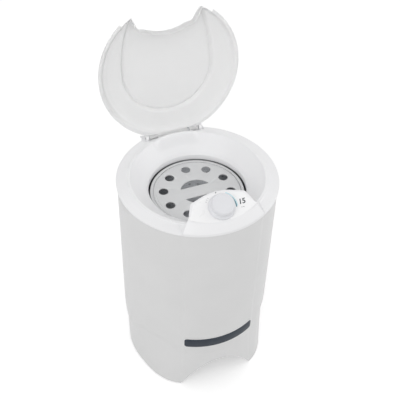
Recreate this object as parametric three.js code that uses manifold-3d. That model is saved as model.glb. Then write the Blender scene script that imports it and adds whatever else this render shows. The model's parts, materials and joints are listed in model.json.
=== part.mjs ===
import * as THREE from 'three';
import { mergeVertices } from 'three/addons/utils/BufferGeometryUtils.js';
import Module from 'manifold-3d';

const wasm = await Module();
wasm.setup();

// Spin dryer. Millimetres, +Z up, floor at z = 0, drum axis at x = y = 0, front at -Y.
// Angles called "around" are in degrees from the front, growing towards +X.

// Driving sizes of the cabinet
const rimHeight = 600;
const rimRadius = 200;
const sideInset = 3;
const sideRadius = rimRadius - sideInset;
const footFlare = 8.5;
const footRadius = sideRadius + footFlare;
const shellWall = 3;

// Fits shared by all pieces
const clearance = 0.3;
const overrun = 30;
const boreSlack = 0.3;
const runningGap = 1.5;

// How finely round forms are faceted
const fineFacets = 36;
const drumFacets = 24;
const motorFacets = 20;
const pinFacets = 10;
const holeFacets = 8;
const screwFacets = 6;
const sheathFacets = 6;
const wireFacets = 5;
const curveFacets = 8;
const planFacets = 6;
const moonFacets = 10;
const wedgeSteps = 6;
const spoutSteps = 8;
const sheathSteps = 26;

const halfTurn = 180;
const degree = Math.PI / halfTurn;

// Colours and finishes
const whitePlastic = { color: 0xeeeeee, roughness: 0.4, metalness: 0 };
const bodyPlastic = { color: 0xdcdddd, roughness: 0.45, metalness: 0 };
const frostedPlastic = { color: 0xe9ebec, roughness: 0.35, metalness: 0 };
const knobPlastic = { color: 0xdfe3e8, roughness: 0.35, metalness: 0 };
const badgeDark = { color: 0x3c444e, roughness: 0.35, metalness: 0 };
const greyPlastic = { color: 0xd2d3d4, roughness: 0.4, metalness: 0 };
const tubPlastic = { color: 0xc9cccf, roughness: 0.5, metalness: 0 };
const blackPlastic = { color: 0x2a2b2d, roughness: 0.6, metalness: 0 };
const rubber = { color: 0x3a3b3d, roughness: 0.85, metalness: 0 };
const stainless = { color: 0xb9bcbf, roughness: 0.3, metalness: 1 };
const plainSteel = { color: 0x9a9da1, roughness: 0.4, metalness: 1 };
const paintedSteel = { color: 0x55595e, roughness: 0.55, metalness: 0.2 };
const castMetal = { color: 0x8c9095, roughness: 0.5, metalness: 0.8 };
const frictionMaterial = { color: 0x5a4a3a, roughness: 0.9, metalness: 0 };

// Cabinet shell
const shellBottom = 2.5;
const collarLip = 4;
const shellTop = rimHeight - collarLip - clearance;
const panelRaise = 1.2;
const creaseAngle = 30;
const creaseStep = 1.5;
const frontLineHeight = 140;
const legLineHeight = 170;
const sideLineHeight = 105;
const lineRiseAngles = [27, 50];
const lineFallAngles = [62, 90];
const frontDip = 3;
const sideDip = 6;
const lineBlend = 34;
const sideFootInset = 6.5;
const sideFootRadius = sideRadius - sideFootInset;
const legAngles = [36, 75];
const plainWallStart = 260;
const flarePower = 1.5;
const footRowShares = [0, 0.3, 0.58, 0.82, 1];
const blendRowShares = [0.4, 1];
const archHalfWidth = 106;
const archHeight = 99;
const archPower = 2.1;
const archPoints = 14;
const archFlangeWall = 3;
const archFlangeDepth = 15;
const footFlangeWidth = 26;
const footFlangeWall = 3;
const frameBossWidth = 26;
const frameBossDepth = 14;
const frameBossInset = 33;
const frameBossRadius = sideRadius - frameBossInset;
const frameBossAngles = [50, 130, -130, -50];

// Grip scoops under the collar's lip, one at each side
const gripHalfWidth = 50;
const gripDepth = 12;
const gripHeight = 27;
const gripSlopeHeight = 18;
const gripWall = 2.5;

// Top collar, heights from the rim's edge
const mouthInset = 78;
const mouthRadius = rimRadius - mouthInset;
const mouthDrop = 33;
const funnelFootDrop = 25.5;
const throatRound = 6;
const funnelFootRadius = mouthRadius + throatRound;
const throatDrop = 42;
const collarWall = 2.5;
const crestInset = 31;
const crestRadius = rimRadius - crestInset;
const crestRise = 6.8;
const crestHalfWidth = 3.5;
const shoulderInset = 18;
const shoulderRadius = rimRadius - shoulderInset;
const shoulderRise = 3.2;
const shoulderMidShare = 0.6;
const funnelTopInset = 40;
const funnelTopRadius = rimRadius - funnelTopInset;
const funnelTopRise = 1.5;
const skirtGap = 1.6;
const skirtRadius = sideRadius - shellWall - skirtGap;
const skirtDepth = 20;
const skirtWall = 3;

// Lid hinge
const hingeInset = 25;
const hingeY = rimRadius - hingeInset;
const hingeRise = 7;
const openAngle = 98;
const barrelRadius = 5.2;
const barrelHalfLength = 66;
const hingeShaftRadius = 3;
const earGap = 2.5;
const earWidth = 8;
const earRadius = 7;
const troughHalfWidth = 82;
const troughDrop = 1.5;
const bumpFrontInset = 54;
const bumpFront = rimRadius - bumpFrontInset;
const bumpBackInset = 33;
const bumpBack = rimRadius - bumpBackInset;
const bumpCrestRise = 14.5;
const bumpHalfAngle = 22;
const bumpWall = 2.2;
const bumpFrontDrop = 9;
const bumpRise = 6.5;
const bumpRound = 1.5;
const bumpFootShare = 0.6;
const crankPlace = 40;
const crankWidth = 5;
const crankLength = 10;
const crankTipRadius = 3;
const crankEyeRadius = 5.5;
const crankAngle = 50;

// Lid, heights from the rim's edge with the lid closed
const lidInset = 18;
const lidRadius = rimRadius - lidInset;
const lidRimWidth = 7;
const lidRimInner = lidRadius - lidRimWidth;
const lidRimRise = 6.4;
const lidWall = 2.2;
const lidWallSlope = 6;
const lidWallTopRadius = lidRimInner - lidWallSlope;
const lidWallTopRise = 17;
const lidShoulderWidth = 29;
const lidShoulderRadius = lidWallTopRadius - lidShoulderWidth;
const lidShoulderRise = 24;
const plateauMargin = 18;
const plateauFootRadius = lidShoulderRadius - plateauMargin;
const plateauFootRise = 26;
const plateauSlope = 6;
const plateauRadius = plateauFootRadius - plateauSlope;
const plateauRise = 33;
const crownRise = 38;
const lidStepAngle = 40;
const lidTipCut = 7;
const lidTipRadius = lidRadius - lidTipCut;
const notchTipX = 87;
const notchTipInset = 49;
const notchTipY = rimRadius - notchTipInset;
const notchBackX = 70;
const notchBackInset = 88;
const notchBackY = rimRadius - notchBackInset;
const notchMiddleInset = 104;
const notchMiddleY = rimRadius - notchMiddleInset;
const notchCorner = 10;
const skirtBottomRise = 7.4;
const lidCrownShares = [0, 0.6, 0.97];

// Control console, heights from the rim's edge
const faceTilt = 25;
const consoleBackX = 68;
const consoleBackInset = 74;
const consoleBackY = rimRadius - consoleBackInset;
const consoleMiddleInset = 88;
const consoleMiddleY = rimRadius - consoleMiddleInset;
const consoleFrontX = 81;
const consoleFrontInset = 48;
const consoleFrontY = rimRadius - consoleFrontInset;
const consoleEdgeAngle = 31;
const consoleCorner = 6;
const cornerRiseShare = 0.333;
const consoleBackRise = 52;
const consoleWall = 2.5;
const consoleFootDrop = 38;
const consoleEdgeInset = 0.4;
const consoleEdgeRadius = rimRadius - consoleEdgeInset;
const consoleEdgeRise = 2.2;
const slopeStartInset = 60;
const slopeStartRadius = rimRadius - slopeStartInset;
const slopeRowShares = [0, 0.3, 0.6, 0.82, 0.95];
const slopeStartRise = 59;
const slopeBulge = 3;
const consoleBossRadius = 5;
const consoleBossX = 56;
const consoleBossInset = 42;
const consoleBossY = rimRadius - consoleBossInset;

// Timer and its knob, heights along the face's normal
const knobInset = 50;
const knobY = rimRadius - knobInset;
const knobRadius = 32;
const knobTopRadius = 27;
const knobHeight = 23;
const knobSkirt = 3.2;
const knobGap = 0.8;
const knobBossRadius = 8;
const spindleRadius = 3;
const spindleRise = 14;
const timerWidth = 56;
const timerFront = 14;
const timerBack = 22;
const timerDepth = 22;
const timerBushRadius = 7;
const timerBoreDepth = 12;

// Badge strip
const badgeBottom = 171;
const badgeTop = 207;
const badgeHalfAngle = 29;
const badgeThickness = 1;

// Base frame and suspension
const frameBottom = 122.3;
const frameWall = 3;
const frameGap = 10;
const frameRadius = sideRadius - shellWall - frameGap;
const frameHoleRadius = 80;
const drainHoleRadius = 17.5;
const frameUpstand = 9;
const springInset = 54;
const springCircle = frameRadius - springInset;
const springAngles = [0, 120, 240];
const springMeanRadius = 12.5;
const springWire = 1.8;
const springTurns = 4;
const springStepsPerTurn = 8;
const springPostRadius = 8;
const lowerPostHeight = 13;
const upperPostHeight = 12;
const plateBottom = 160;
const plateWall = 3;
const plateMargin = 18;
const plateRadius = springCircle + plateMargin;
const lightHoleRadius = 15;
const lightHoleOffset = 4;
const lightHoleCircle = springCircle + lightHoleOffset;
const lightHoleAngles = [60, 90, 300];

// Outer tub, its cover and the seal between cover and collar throat
const tubFloor = 188;
const tubGap = 18;
const tubRadius = sideRadius - shellWall - tubGap;
const tubWall = 3;
const tubCornerSize = 6;
const tubDrop = 54.3;
const tubTop = rimHeight - tubDrop;
const tubBossRadius = 24;
const tubBossBottom = 182;
const tubBossTop = 207;
const tubLegRadius = 9;
const tubLegInset = 8;
const tubLegCircle = springCircle - tubLegInset;
const tubLegAngles = [60, 180, 300];
const coverWall = 3;
const coverSkirt = 8;
const coverHoleMargin = 5.5;
const coverHoleRadius = mouthRadius + coverHoleMargin;
const gasketThickness = 3;
const gasketFoot = 6;
const gasketHeight = 13;
const drainInset = 18;
const drainY = tubRadius - drainInset;
const drainBore = 7.5;
const drainTubeRadius = 10;
const drainBend = 30;
const drainOutletInset = 1.5;
const drainOutletY = footRadius - drainOutletInset;
const drainOutletHeight = 62;

// Basket
const basketFloor = 212;
const basketGap = 29;
const basketRadius = tubRadius - basketGap;
const basketWall = 1.5;
const basketDrop = 47;
const basketTop = rimHeight - basketDrop;
const neckInset = 4.5;
const neckRadius = mouthRadius - neckInset;
const neckWidth = 7.2;
const seatRadius = neckRadius - neckWidth;
const seatDepth = 3;
const seatWidth = 7.3;
const neckHeight = 7;
const basketShoulderHeight = 40;
const basketCorner = 12;
const hubFlangeRadius = 40;
const hubRadius = 15.7;
const hubHeight = 10;
const hubFlange = 3.2;
const perforationRadius = 4;
const perforationRows = 5;
const perforationPairs = 3;
const perforationBottom = 250;
const perforationTopMargin = 43;
const perforationTop = basketTop - basketShoulderHeight - perforationTopMargin;
const perforationPitch = (perforationTop - perforationBottom) / (perforationRows - 1);
const perforationTwist = 20;
const perforationFacets = 6;

// Loose disc in the basket's mouth
const discGap = 0.8;
const discRadius = seatRadius - discGap;
const discThickness = 2.6;
const discHoleCircleShare = 0.7671;
const discHoleCircle = discRadius * discHoleCircleShare;
const discHoleRadius = 12;
const discHoleCount = 10;
const fingerArcShare = 0.3836;
const fingerArcRadius = discRadius * fingerArcShare;
const fingerBarShare = 0.1644;
const fingerBarHalf = discRadius * fingerBarShare;

// Drive
const shaftRadius = 8;
const shaftBottom = 75;
const shaftTop = 237;
const shaftChamfer = 1;
const bearingRadius = 17;
const bearingHeight = 11.7;
const sealRadius = 16;
const sealHeight = 7;
const sealShoulder = 2;
const nutRadius = 13;
const nutHeight = 8;
const motorRadius = 58;
const motorWall = 3;
const motorBottom = 70;
const motorFloorWall = 4;
const motorFloorGap = 2;
const bearingLift = 2;
const shieldRadius = 70;
const shieldThickness = 6;
const statorInner = 32.3;
const statorBottom = 96;
const statorTop = 130;
const windingRise = 10;
const rotorGap = 0.7;
const lowerBearingHeight = 9.4;
const ventHalfWidth = 4;
const ventBottom = 100;
const ventTop = 128;
const ventAngles = [0, 60, 120];
const motorScrewCircle = 64;

// Brake under the tub
const brakeDrumRadius = 35;
const brakeDrumBottom = 167;
const brakeDrumHeight = 13;
const brakeDrumWall = 4;
const liningGap = 0.6;
const liningThickness = 4.4;
const liningHalfAngle = 22;
const carrierThickness = 4;
const leverBottom = 170;
const leverThickness = 6;
const leverWidth = 10;
const pivotX = 50;
const pivotY = 52;
const pivotRadius = 4;
const pivotHeadRadius = 7.9;
const leverEyeRadius = 8;
const leverEndInset = 35;
const leverEndX = springCircle - leverEndInset;
const wireRadius = 0.8;
const wireLength = 22;
const ferruleGap = 12;
const ferruleLength = 26;
const ferruleBore = 3.6;
const ferruleRadius = 6;
const sheathRadius = 2.5;
const sheathBend = 24;
const sheathWallGap = 8;
const sheathSocketDepth = 14;
const sheathSocketRadius = 5.5;

// Switch that the lid works
const switchPlace = 40;
const switchWidth = 22;
const switchLength = 12;
const switchDepth = 16;
const plungerRadius = 2.5;
const plungerProud = 1.9;
const plungerLength = 14;
const plungerTravel = 1;
const nibWidth = 6;
const nibThickness = 4;
const nibReach = 7.3;

// Small fittings
const capacitorRadius = 12;
const capacitorLength = 60;
const capacitorOffset = 8;
const capacitorX = springCircle + capacitorOffset;
const clipWall = 1.4;
const clipWidth = 12;
const clipFoot = 9;
const glandInset = 33;
const glandX = leverEndX - glandInset;
const glandHeight = 225;
const glandRadius = 7;
const glandFlangeRadius = 11;
const glandFlange = 3;
const glandLength = 22;
const glandBore = 3.5;
const frameScrewInset = 7;
const frameScrewCircle = frameRadius - frameScrewInset;
const padRadius = 10;
const padInset = 12.5;
const padCircle = footRadius - padInset;
const padAngles = [40, 140, -140, -40];
const padStemRadius = 4;
const padStemHeight = 10;
const screwHeadRadius = 4.4;
const screwHeadHeight = 3;
const screwRadius = 2.2;
const frameScrewLength = 13;
const motorScrewLength = 12;
const consoleScrewLength = 22;

// Geometry to solid, with its faces turned outwards
function toSolid(geometry, matrix) {
  const plain = geometry.clone();
  if (matrix) plain.applyMatrix4(matrix);
  plain.deleteAttribute('normal');
  plain.deleteAttribute('uv');
  const merged = mergeVertices(plain);
  const place = merged.attributes.position;
  const corners = merged.index.array;
  const kept = [];
  let volume = 0;
  const a = new THREE.Vector3();
  const b = new THREE.Vector3();
  const c = new THREE.Vector3();
  for (let i = 0; i < corners.length; i += 3) {
    const [p, q, r] = [corners[i], corners[i + 1], corners[i + 2]];
    if (p === q || q === r || r === p) continue;
    kept.push(p, q, r);
    a.fromBufferAttribute(place, p);
    b.fromBufferAttribute(place, q);
    c.fromBufferAttribute(place, r);
    volume += a.dot(b.cross(c));
  }
  if (volume < 0) kept.reverse();
  return new wasm.Manifold(new wasm.Mesh({
    numProp: 3,
    vertProperties: new Float32Array(place.array),
    triVerts: new Uint32Array(kept),
  }));
}

function toGeometry(solid) {
  const mesh = solid.getMesh();
  const geometry = new THREE.BufferGeometry();
  geometry.setAttribute('position', new THREE.BufferAttribute(new Float32Array(mesh.vertProperties), 3));
  geometry.setIndex(new THREE.BufferAttribute(new Uint32Array(mesh.triVerts), 1));
  geometry.computeVertexNormals();
  return geometry;
}

function joined(solids) {
  return solids.reduce((whole, next) => whole.add(next));
}

function cut(solid, tools) {
  return tools.reduce((rest, tool) => rest.subtract(tool), solid);
}

// A point at a radius and an angle around the axis, counted from the front
function around(radius, angle) {
  return { x: radius * Math.sin(angle * degree), y: -radius * Math.cos(angle * degree) };
}

function shift(x, y, z) {
  return new THREE.Matrix4().makeTranslation(x, y, z);
}

function turnedAt(x, y, z, angle) {
  return shift(x, y, z).multiply(new THREE.Matrix4().makeRotationZ(angle * degree));
}

// Profile of [radius, height] pairs turned about the Z axis, closed on the axis or on itself
function revolve(profile, facets = fineFacets, matrix = undefined) {
  const points = profile.map(([radius, height]) => new THREE.Vector2(radius, height));
  const last = points[points.length - 1];
  if (points[0].x !== 0 || last.x !== 0) points.push(points[0].clone());
  return toSolid(new THREE.LatheGeometry(points, facets).rotateX(Math.PI / 2), matrix);
}

function post(radius, low, high, x = 0, y = 0, facets = pinFacets) {
  return revolve([[0, low], [radius, low], [radius, high], [0, high]], facets, shift(x, y, 0));
}

function tube(outer, inner, low, high, facets = pinFacets) {
  return revolve([[inner, low], [outer, low], [outer, high], [inner, high]], facets);
}

function block(low, high) {
  const size = high.map((value, axis) => value - low[axis]);
  const middle = high.map((value, axis) => (value + low[axis]) / 2);
  return toSolid(new THREE.BoxGeometry(...size), shift(...middle));
}

function outline(points) {
  return new THREE.Shape(points.map(([x, y]) => new THREE.Vector2(x, y)));
}

function extrudeUp(shape, low, high, curveSegments = curveFacets) {
  const options = { depth: high - low, bevelEnabled: false, curveSegments };
  return toSolid(new THREE.ExtrudeGeometry(shape, options), shift(0, 0, low));
}

// Shape drawn in x and z, run along Y
function extrudeAlongY(shape, from, to, curveSegments = curveFacets) {
  const options = { depth: to - from, bevelEnabled: false, curveSegments };
  const geometry = new THREE.ExtrudeGeometry(shape, options).rotateX(Math.PI / 2);
  return toSolid(geometry, shift(0, to, 0));
}

// Shape drawn in y and z, run along X
function extrudeAlongX(shape, from, to, curveSegments = curveFacets) {
  const options = { depth: to - from, bevelEnabled: false, curveSegments };
  const turn = new THREE.Matrix4().makeBasis(
    new THREE.Vector3(0, 1, 0),
    new THREE.Vector3(0, 0, 1),
    new THREE.Vector3(1, 0, 0),
  );
  return toSolid(new THREE.ExtrudeGeometry(shape, options), shift(from, 0, 0).multiply(turn));
}

function rodAlongX(radius, from, to, y, z, facets = pinFacets) {
  const circle = new THREE.Shape();
  circle.absarc(y, z, radius, 0, 2 * Math.PI);
  return extrudeAlongX(circle, from, to, facets);
}

function rodAlongY(radius, from, to, x, z, facets = pinFacets) {
  const circle = new THREE.Shape();
  circle.absarc(x, z, radius, 0, 2 * Math.PI);
  return extrudeAlongY(circle, from, to, facets);
}

// Wedge from the axis outwards, between two angles around
function wedge(fromAngle, toAngle, radius, low, high) {
  const points = [[0, 0]];
  for (let step = 0; step <= wedgeSteps; step += 1) {
    const place = around(radius, fromAngle + (toAngle - fromAngle) * step / wedgeSteps);
    points.push([place.x, place.y]);
  }
  return extrudeUp(outline(points), low, high);
}

function pipe(curve, radius, steps, sides) {
  const section = new THREE.Shape();
  for (let side = 0; side < sides; side += 1) {
    const angle = 2 * Math.PI * side / sides;
    const point = [radius * Math.cos(angle), radius * Math.sin(angle)];
    if (side === 0) section.moveTo(...point);
    else section.lineTo(...point);
  }
  return toSolid(new THREE.ExtrudeGeometry(section, { steps, extrudePath: curve, bevelEnabled: false }));
}

const spinDryer = new THREE.Group();

function addGroup(parent = spinDryer) {
  const group = new THREE.Group();
  parent.add(group);
  return group;
}

function addPiece(group, name, solid, finish) {
  const mesh = new THREE.Mesh(toGeometry(solid), new THREE.MeshStandardMaterial(finish));
  mesh.name = name;
  group.add(mesh);
}

// Angle folded into the first quarter, so that front, back and both sides repeat
function foldedAngle(x, y) {
  const angle = Math.abs(Math.atan2(x, -y)) / degree;
  return angle > 90 ? 180 - angle : angle;
}

function smoothStep(value) {
  const t = Math.min(1, Math.max(0, value));
  return t * t * (3 - 2 * t);
}

// How far an angle is on its way from the first to the second of a pair, eased at both ends
function easedShare(angle, [from, to]) {
  return smoothStep((angle - from) / (to - from));
}

// Height of a bow that is one in the middle of its run and nothing at either end
function bowAt(share) {
  return 4 * share * (1 - share);
}

function lineHeightAt(angle) {
  const risen = frontLineHeight + (legLineHeight - frontLineHeight) * easedShare(angle, lineRiseAngles);
  return risen + (sideLineHeight - legLineHeight) * easedShare(angle, lineFallAngles);
}

// How far the wall stands out from its straight part, by height on the front's scale
function flareAt(height, angle) {
  const toSide = easedShare(angle, legAngles);
  const dip = frontDip + (sideDip - frontDip) * toSide;
  const foot = footRadius + (sideFootRadius - footRadius) * toSide;
  if (height >= frontLineHeight + lineBlend) return 0;
  if (height >= frontLineHeight) return -dip * (1 - (height - frontLineHeight) / lineBlend) ** 2;
  const drop = (frontLineHeight - height) / (frontLineHeight - shellBottom);
  return -dip + (foot - sideRadius + dip) * drop ** flarePower;
}

// Heights are drawn up towards the sides, so that the concave line climbs there
function raisedHeight(height, angle) {
  const line = lineHeightAt(angle);
  if (height <= frontLineHeight) {
    const share = (height - shellBottom) / (frontLineHeight - shellBottom);
    return shellBottom + share * (line - shellBottom);
  }
  if (height >= plainWallStart) return height;
  const share = (plainWallStart - height) / (plainWallStart - frontLineHeight);
  return height + (line - frontLineHeight) * share;
}

// Facet corners beyond the crease close up to it, so that its step is narrow
function creasedAngle(angle) {
  const spacing = 360 / fineFacets;
  if (angle < creaseAngle + spacing / 2) return angle;
  const first = creaseAngle + spacing;
  return creaseAngle + creaseStep + (angle - first) * (90 - creaseAngle - creaseStep) / (90 - first);
}

// The cabinet's skin as a full solid, either at its outer or its inner face
function cabinetSkin(inset) {
  const ends = inset > 0 ? overrun : 0;
  const heights = footRowShares.map((share) => shellBottom + share * (frontLineHeight - shellBottom));
  blendRowShares.forEach((share) => heights.push(frontLineHeight + share * lineBlend));
  heights.push(plainWallStart, shellTop);
  const rows = heights.map((height) => [sideRadius - inset, height]);
  rows[0][1] -= ends;
  rows[rows.length - 1][1] += ends;
  const points = [[0, rows[0][1]], ...rows, [0, rows[rows.length - 1][1]]];
  const vectors = points.map(([radius, height]) => new THREE.Vector2(radius, height));
  const geometry = new THREE.LatheGeometry(vectors, fineFacets).rotateX(Math.PI / 2);
  const place = geometry.attributes.position;
  for (let i = 0; i < place.count; i += 1) {
    const x = place.getX(i);
    const y = place.getY(i);
    const height = place.getZ(i);
    const angle = foldedAngle(x, y);
    const creased = creasedAngle(angle);
    const raise = angle < creaseAngle + creaseStep && inset === 0 ? panelRaise : 0;
    const radius = Math.hypot(x, y) + raise + flareAt(Math.max(height, shellBottom), creased);
    if (height > shellBottom && height < shellTop) place.setZ(i, raisedHeight(height, creased));
    if (radius < sideRadius / 2) continue;
    place.setX(i, Math.sign(x) * radius * Math.sin(creased * degree));
    place.setY(i, Math.sign(y) * radius * Math.cos(creased * degree));
  }
  return toSolid(geometry);
}

function archShape(grow) {
  const half = archHalfWidth + grow;
  const height = archHeight + grow;
  const points = [[-half, -overrun]];
  for (let step = 0; step <= archPoints; step += 1) {
    const share = -Math.cos(Math.PI * step / archPoints);
    points.push([half * share, height * (1 - Math.abs(share) ** archPower)]);
  }
  points.push([half, -overrun]);
  return outline(points);
}

// Side scoop in x and z; the grow value thickens it into its own wall
function gripShape(grow) {
  const back = sideRadius - gripDepth - grow;
  const bottom = shellTop - gripHeight - grow;
  const out = sideRadius + overrun;
  const slope = gripSlopeHeight * (1 + overrun / gripDepth);
  return outline([
    [out, bottom + gripSlopeHeight - slope],
    [back, bottom + gripSlopeHeight],
    [back, shellTop + (grow > 0 ? 0 : overrun)],
    [out, shellTop + (grow > 0 ? 0 : overrun)],
  ]);
}

function mirrored(solid) {
  const mesh = toGeometry(solid);
  return toSolid(mesh, new THREE.Matrix4().makeScale(-1, 1, 1));
}

function cabinetShell() {
  const outer = cabinetSkin(0);
  const inner = cabinetSkin(shellWall);
  let shell = outer.subtract(inner);
  const flangeInner = footRadius - footFlangeWidth;
  shell = shell.add(tube(footRadius - shellWall / 2, flangeInner, shellBottom,
    shellBottom + footFlangeWall, fineFacets).intersect(outer));
  const arch = extrudeAlongY(archShape(0), -rimRadius - overrun, rimRadius + overrun);
  const flange = extrudeAlongY(archShape(archFlangeWall), -rimRadius - overrun, rimRadius + overrun)
    .intersect(outer)
    .subtract(post(sideRadius - archFlangeDepth, -overrun, rimHeight, 0, 0, fineFacets));
  shell = shell.add(flange).subtract(arch);
  const gripRight = extrudeAlongY(gripShape(gripWall), -gripHalfWidth - gripWall, gripHalfWidth + gripWall);
  const scoopRight = extrudeAlongY(gripShape(0), -gripHalfWidth, gripHalfWidth);
  shell = joined([shell, gripRight.intersect(outer), mirrored(gripRight).intersect(outer)]);
  shell = cut(shell, [scoopRight, mirrored(scoopRight)]);
  frameBossAngles.forEach((angle) => {
    const bossTop = frameBottom - clearance;
    const boss = block([-frameBossWidth / 2, -sideRadius, bossTop - frameBossDepth],
      [frameBossWidth / 2, -frameBossRadius, bossTop]);
    const turned = toSolid(toGeometry(boss), turnedAt(0, 0, 0, angle));
    const hole = around(frameScrewCircle, angle);
    shell = shell.add(turned.intersect(outer));
    shell = shell.subtract(post(screwRadius + boreSlack, bossTop - frameScrewLength, bossTop + overrun,
      hole.x, hole.y, screwFacets));
  });
  padAngles.forEach((angle) => {
    const hole = around(padCircle, angle);
    shell = shell.subtract(post(padStemRadius + boreSlack, -overrun, shellBottom + overrun / 2,
      hole.x, hole.y, holeFacets));
  });
  const glandHole = rodAlongY(glandRadius + boreSlack, sideRadius / 2, sideRadius + overrun,
    glandX, glandHeight);
  return shell.subtract(glandHole);
}

// The collar's upper face as [radius, rise] pairs, from the rim's edge inwards
function collarFace() {
  return [
    [rimRadius, 0],
    [(rimRadius + shoulderRadius) / 2, shoulderRise * shoulderMidShare],
    [shoulderRadius, shoulderRise],
    [crestRadius + crestHalfWidth, crestRise - clearance],
    [crestRadius - crestHalfWidth, crestRise - clearance],
    [funnelTopRadius, funnelTopRise],
    [funnelFootRadius, -funnelFootDrop],
    [mouthRadius, -mouthDrop],
  ];
}

// Everything from the collar's upper face down, with the face raised by a gap
function underCollar(gap, bottom) {
  const face = collarFace().map(([radius, rise]) => [radius, rimHeight + rise + gap]);
  const ends = [face[0], face[face.length - 1]];
  return revolve([
    [mouthRadius - gap, bottom],
    [rimRadius + gap, bottom],
    [rimRadius + gap, ends[0][1]],
    ...face.slice(1, -1),
    [mouthRadius - gap, ends[1][1]],
  ]);
}

function collarRing() {
  const face = collarFace();
  const under = face.slice(5, -1).reverse().map(([radius, rise]) => [radius, rise - collarWall]);
  const rise = (pairs) => pairs.map(([radius, height]) => [radius, rimHeight + height]);
  return revolve(rise([
    ...face,
    [mouthRadius, -throatDrop],
    [mouthRadius + collarWall, -throatDrop],
    [mouthRadius + collarWall, -mouthDrop + clearance],
    ...under,
    [skirtRadius - skirtWall, -collarWall],
    [skirtRadius - skirtWall, -skirtDepth],
    [skirtRadius, -skirtDepth],
    [skirtRadius, -collarLip],
    [rimRadius, -collarLip],
  ]));
}

function earShape(grow) {
  const shape = new THREE.Shape();
  const top = rimHeight + hingeRise;
  const foot = rimHeight - troughDrop - collarWall / 2;
  shape.moveTo(hingeY + earRadius + grow, foot);
  shape.lineTo(hingeY + earRadius + grow, top);
  shape.absarc(hingeY, top, earRadius + grow, 0, Math.PI);
  shape.lineTo(hingeY - earRadius - grow, foot);
  return shape;
}

// Cross-section of the raised hinge housing; the inset value gives its hollow
function bumpProfile(inset) {
  const lower = rimHeight - funnelFootDrop * bumpFootShare - inset * overrun;
  const crest = rimHeight + bumpCrestRise;
  return [
    [bumpFront + inset, lower],
    [bumpFront + inset, rimHeight - bumpFrontDrop],
    [bumpFront + bumpRise + inset, rimHeight + bumpCrestRise / 2 - inset],
    [bumpFront + 2 * bumpRise, crest - bumpRound - inset],
    [bumpBack - bumpRise, crest - inset],
    [bumpBack - bumpRound - inset, crest - bumpRound / 2 - inset],
    [bumpBack - inset, crest - 2 * bumpRound - inset],
    [bumpBack - inset, lower],
  ];
}

function topCollar() {
  const floorTop = rimHeight - troughDrop;
  const panOuter = troughHalfWidth + collarWall;
  const pan = block(
    [-panOuter, bumpBack - bumpWall, rimHeight - collarLip],
    [panOuter, rimRadius, rimHeight + crestRise],
  ).intersect(underCollar(0, rimHeight - collarLip));
  const trough = block(
    [-troughHalfWidth, bumpBack, floorTop],
    [troughHalfWidth, rimRadius + overrun, rimHeight + overrun],
  );
  const sector = wedge(halfTurn - bumpHalfAngle, halfTurn + bumpHalfAngle, rimRadius, 0, rimHeight + overrun);
  const hollowHalf = bumpHalfAngle - bumpWall / bumpFront / degree;
  const hollowSector = wedge(halfTurn - hollowHalf, halfTurn + hollowHalf, rimRadius, 0, rimHeight + overrun);
  const bump = revolve(bumpProfile(0)).intersect(sector);
  const bumpHollow = revolve(bumpProfile(bumpWall)).intersect(hollowSector);
  const earStart = barrelHalfLength + earGap;
  const ear = extrudeAlongX(earShape(0), earStart, earStart + earWidth, pinFacets / 2);
  const shaftBore = rodAlongX(hingeShaftRadius + boreSlack, -rimRadius / 2, rimRadius / 2,
    hingeY, rimHeight + hingeRise);
  const slotStart = hingeY - crankLength * Math.cos(crankAngle * degree) - crankTipRadius - runningGap;
  const crankSlot = block(
    [crankPlace - crankWidth / 2 - runningGap, slotStart, rimHeight - overrun],
    [crankPlace + crankWidth / 2 + runningGap, hingeY + crankLength + clearance,
      rimHeight + crestRise - collarWall],
  );
  const plungerHole = post(plungerRadius + boreSlack, rimHeight - overrun, rimHeight, -switchPlace, hingeY);
  const socketTop = rimHeight - troughDrop - clearance;
  const socket = sheathTop();
  const sheathSocket = post(sheathSocketRadius, rimHeight - sheathSocketDepth - collarLip, socketTop,
    socket.x, socket.y);
  const sheathBore = post(sheathRadius + boreSlack, 0, rimHeight - collarLip - clearance,
    socket.x, socket.y);
  const gapHalf = gripHalfWidth + 2 * gripWall;
  const skirtGap = block(
    [sideRadius - gripDepth - 2 * gripWall, -gapHalf, rimHeight - skirtDepth - clearance],
    [skirtRadius + clearance, gapHalf, rimHeight - collarLip],
  );
  let collar = joined([cut(collarRing(), [skirtGap, mirrored(skirtGap)]), pan, bump]);
  collar = cut(collar, [trough, bumpHollow]);
  collar = joined([collar, ear, mirrored(ear), sheathSocket]);
  collar = cut(collar, [shaftBore, crankSlot, plungerHole, sheathBore]);
  [-consoleBossX, consoleBossX].forEach((x) => {
    collar = collar.subtract(post(screwRadius + boreSlack, rimHeight - overrun, rimHeight + overrun,
      x, -consoleBossY, screwFacets));
  });
  return collar;
}

// Where the brake cable's sheath ends under the collar
function sheathTop() {
  const wall = sideRadius - shellWall - sheathWallGap;
  return { x: leverEndX, y: Math.sqrt(wall ** 2 - leverEndX ** 2) };
}

// Height of the console's tilted face over a given y
function faceHeight(y) {
  return rimHeight + consoleBackRise + (y + consoleMiddleY) * Math.tan(faceTilt * degree);
}

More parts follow.
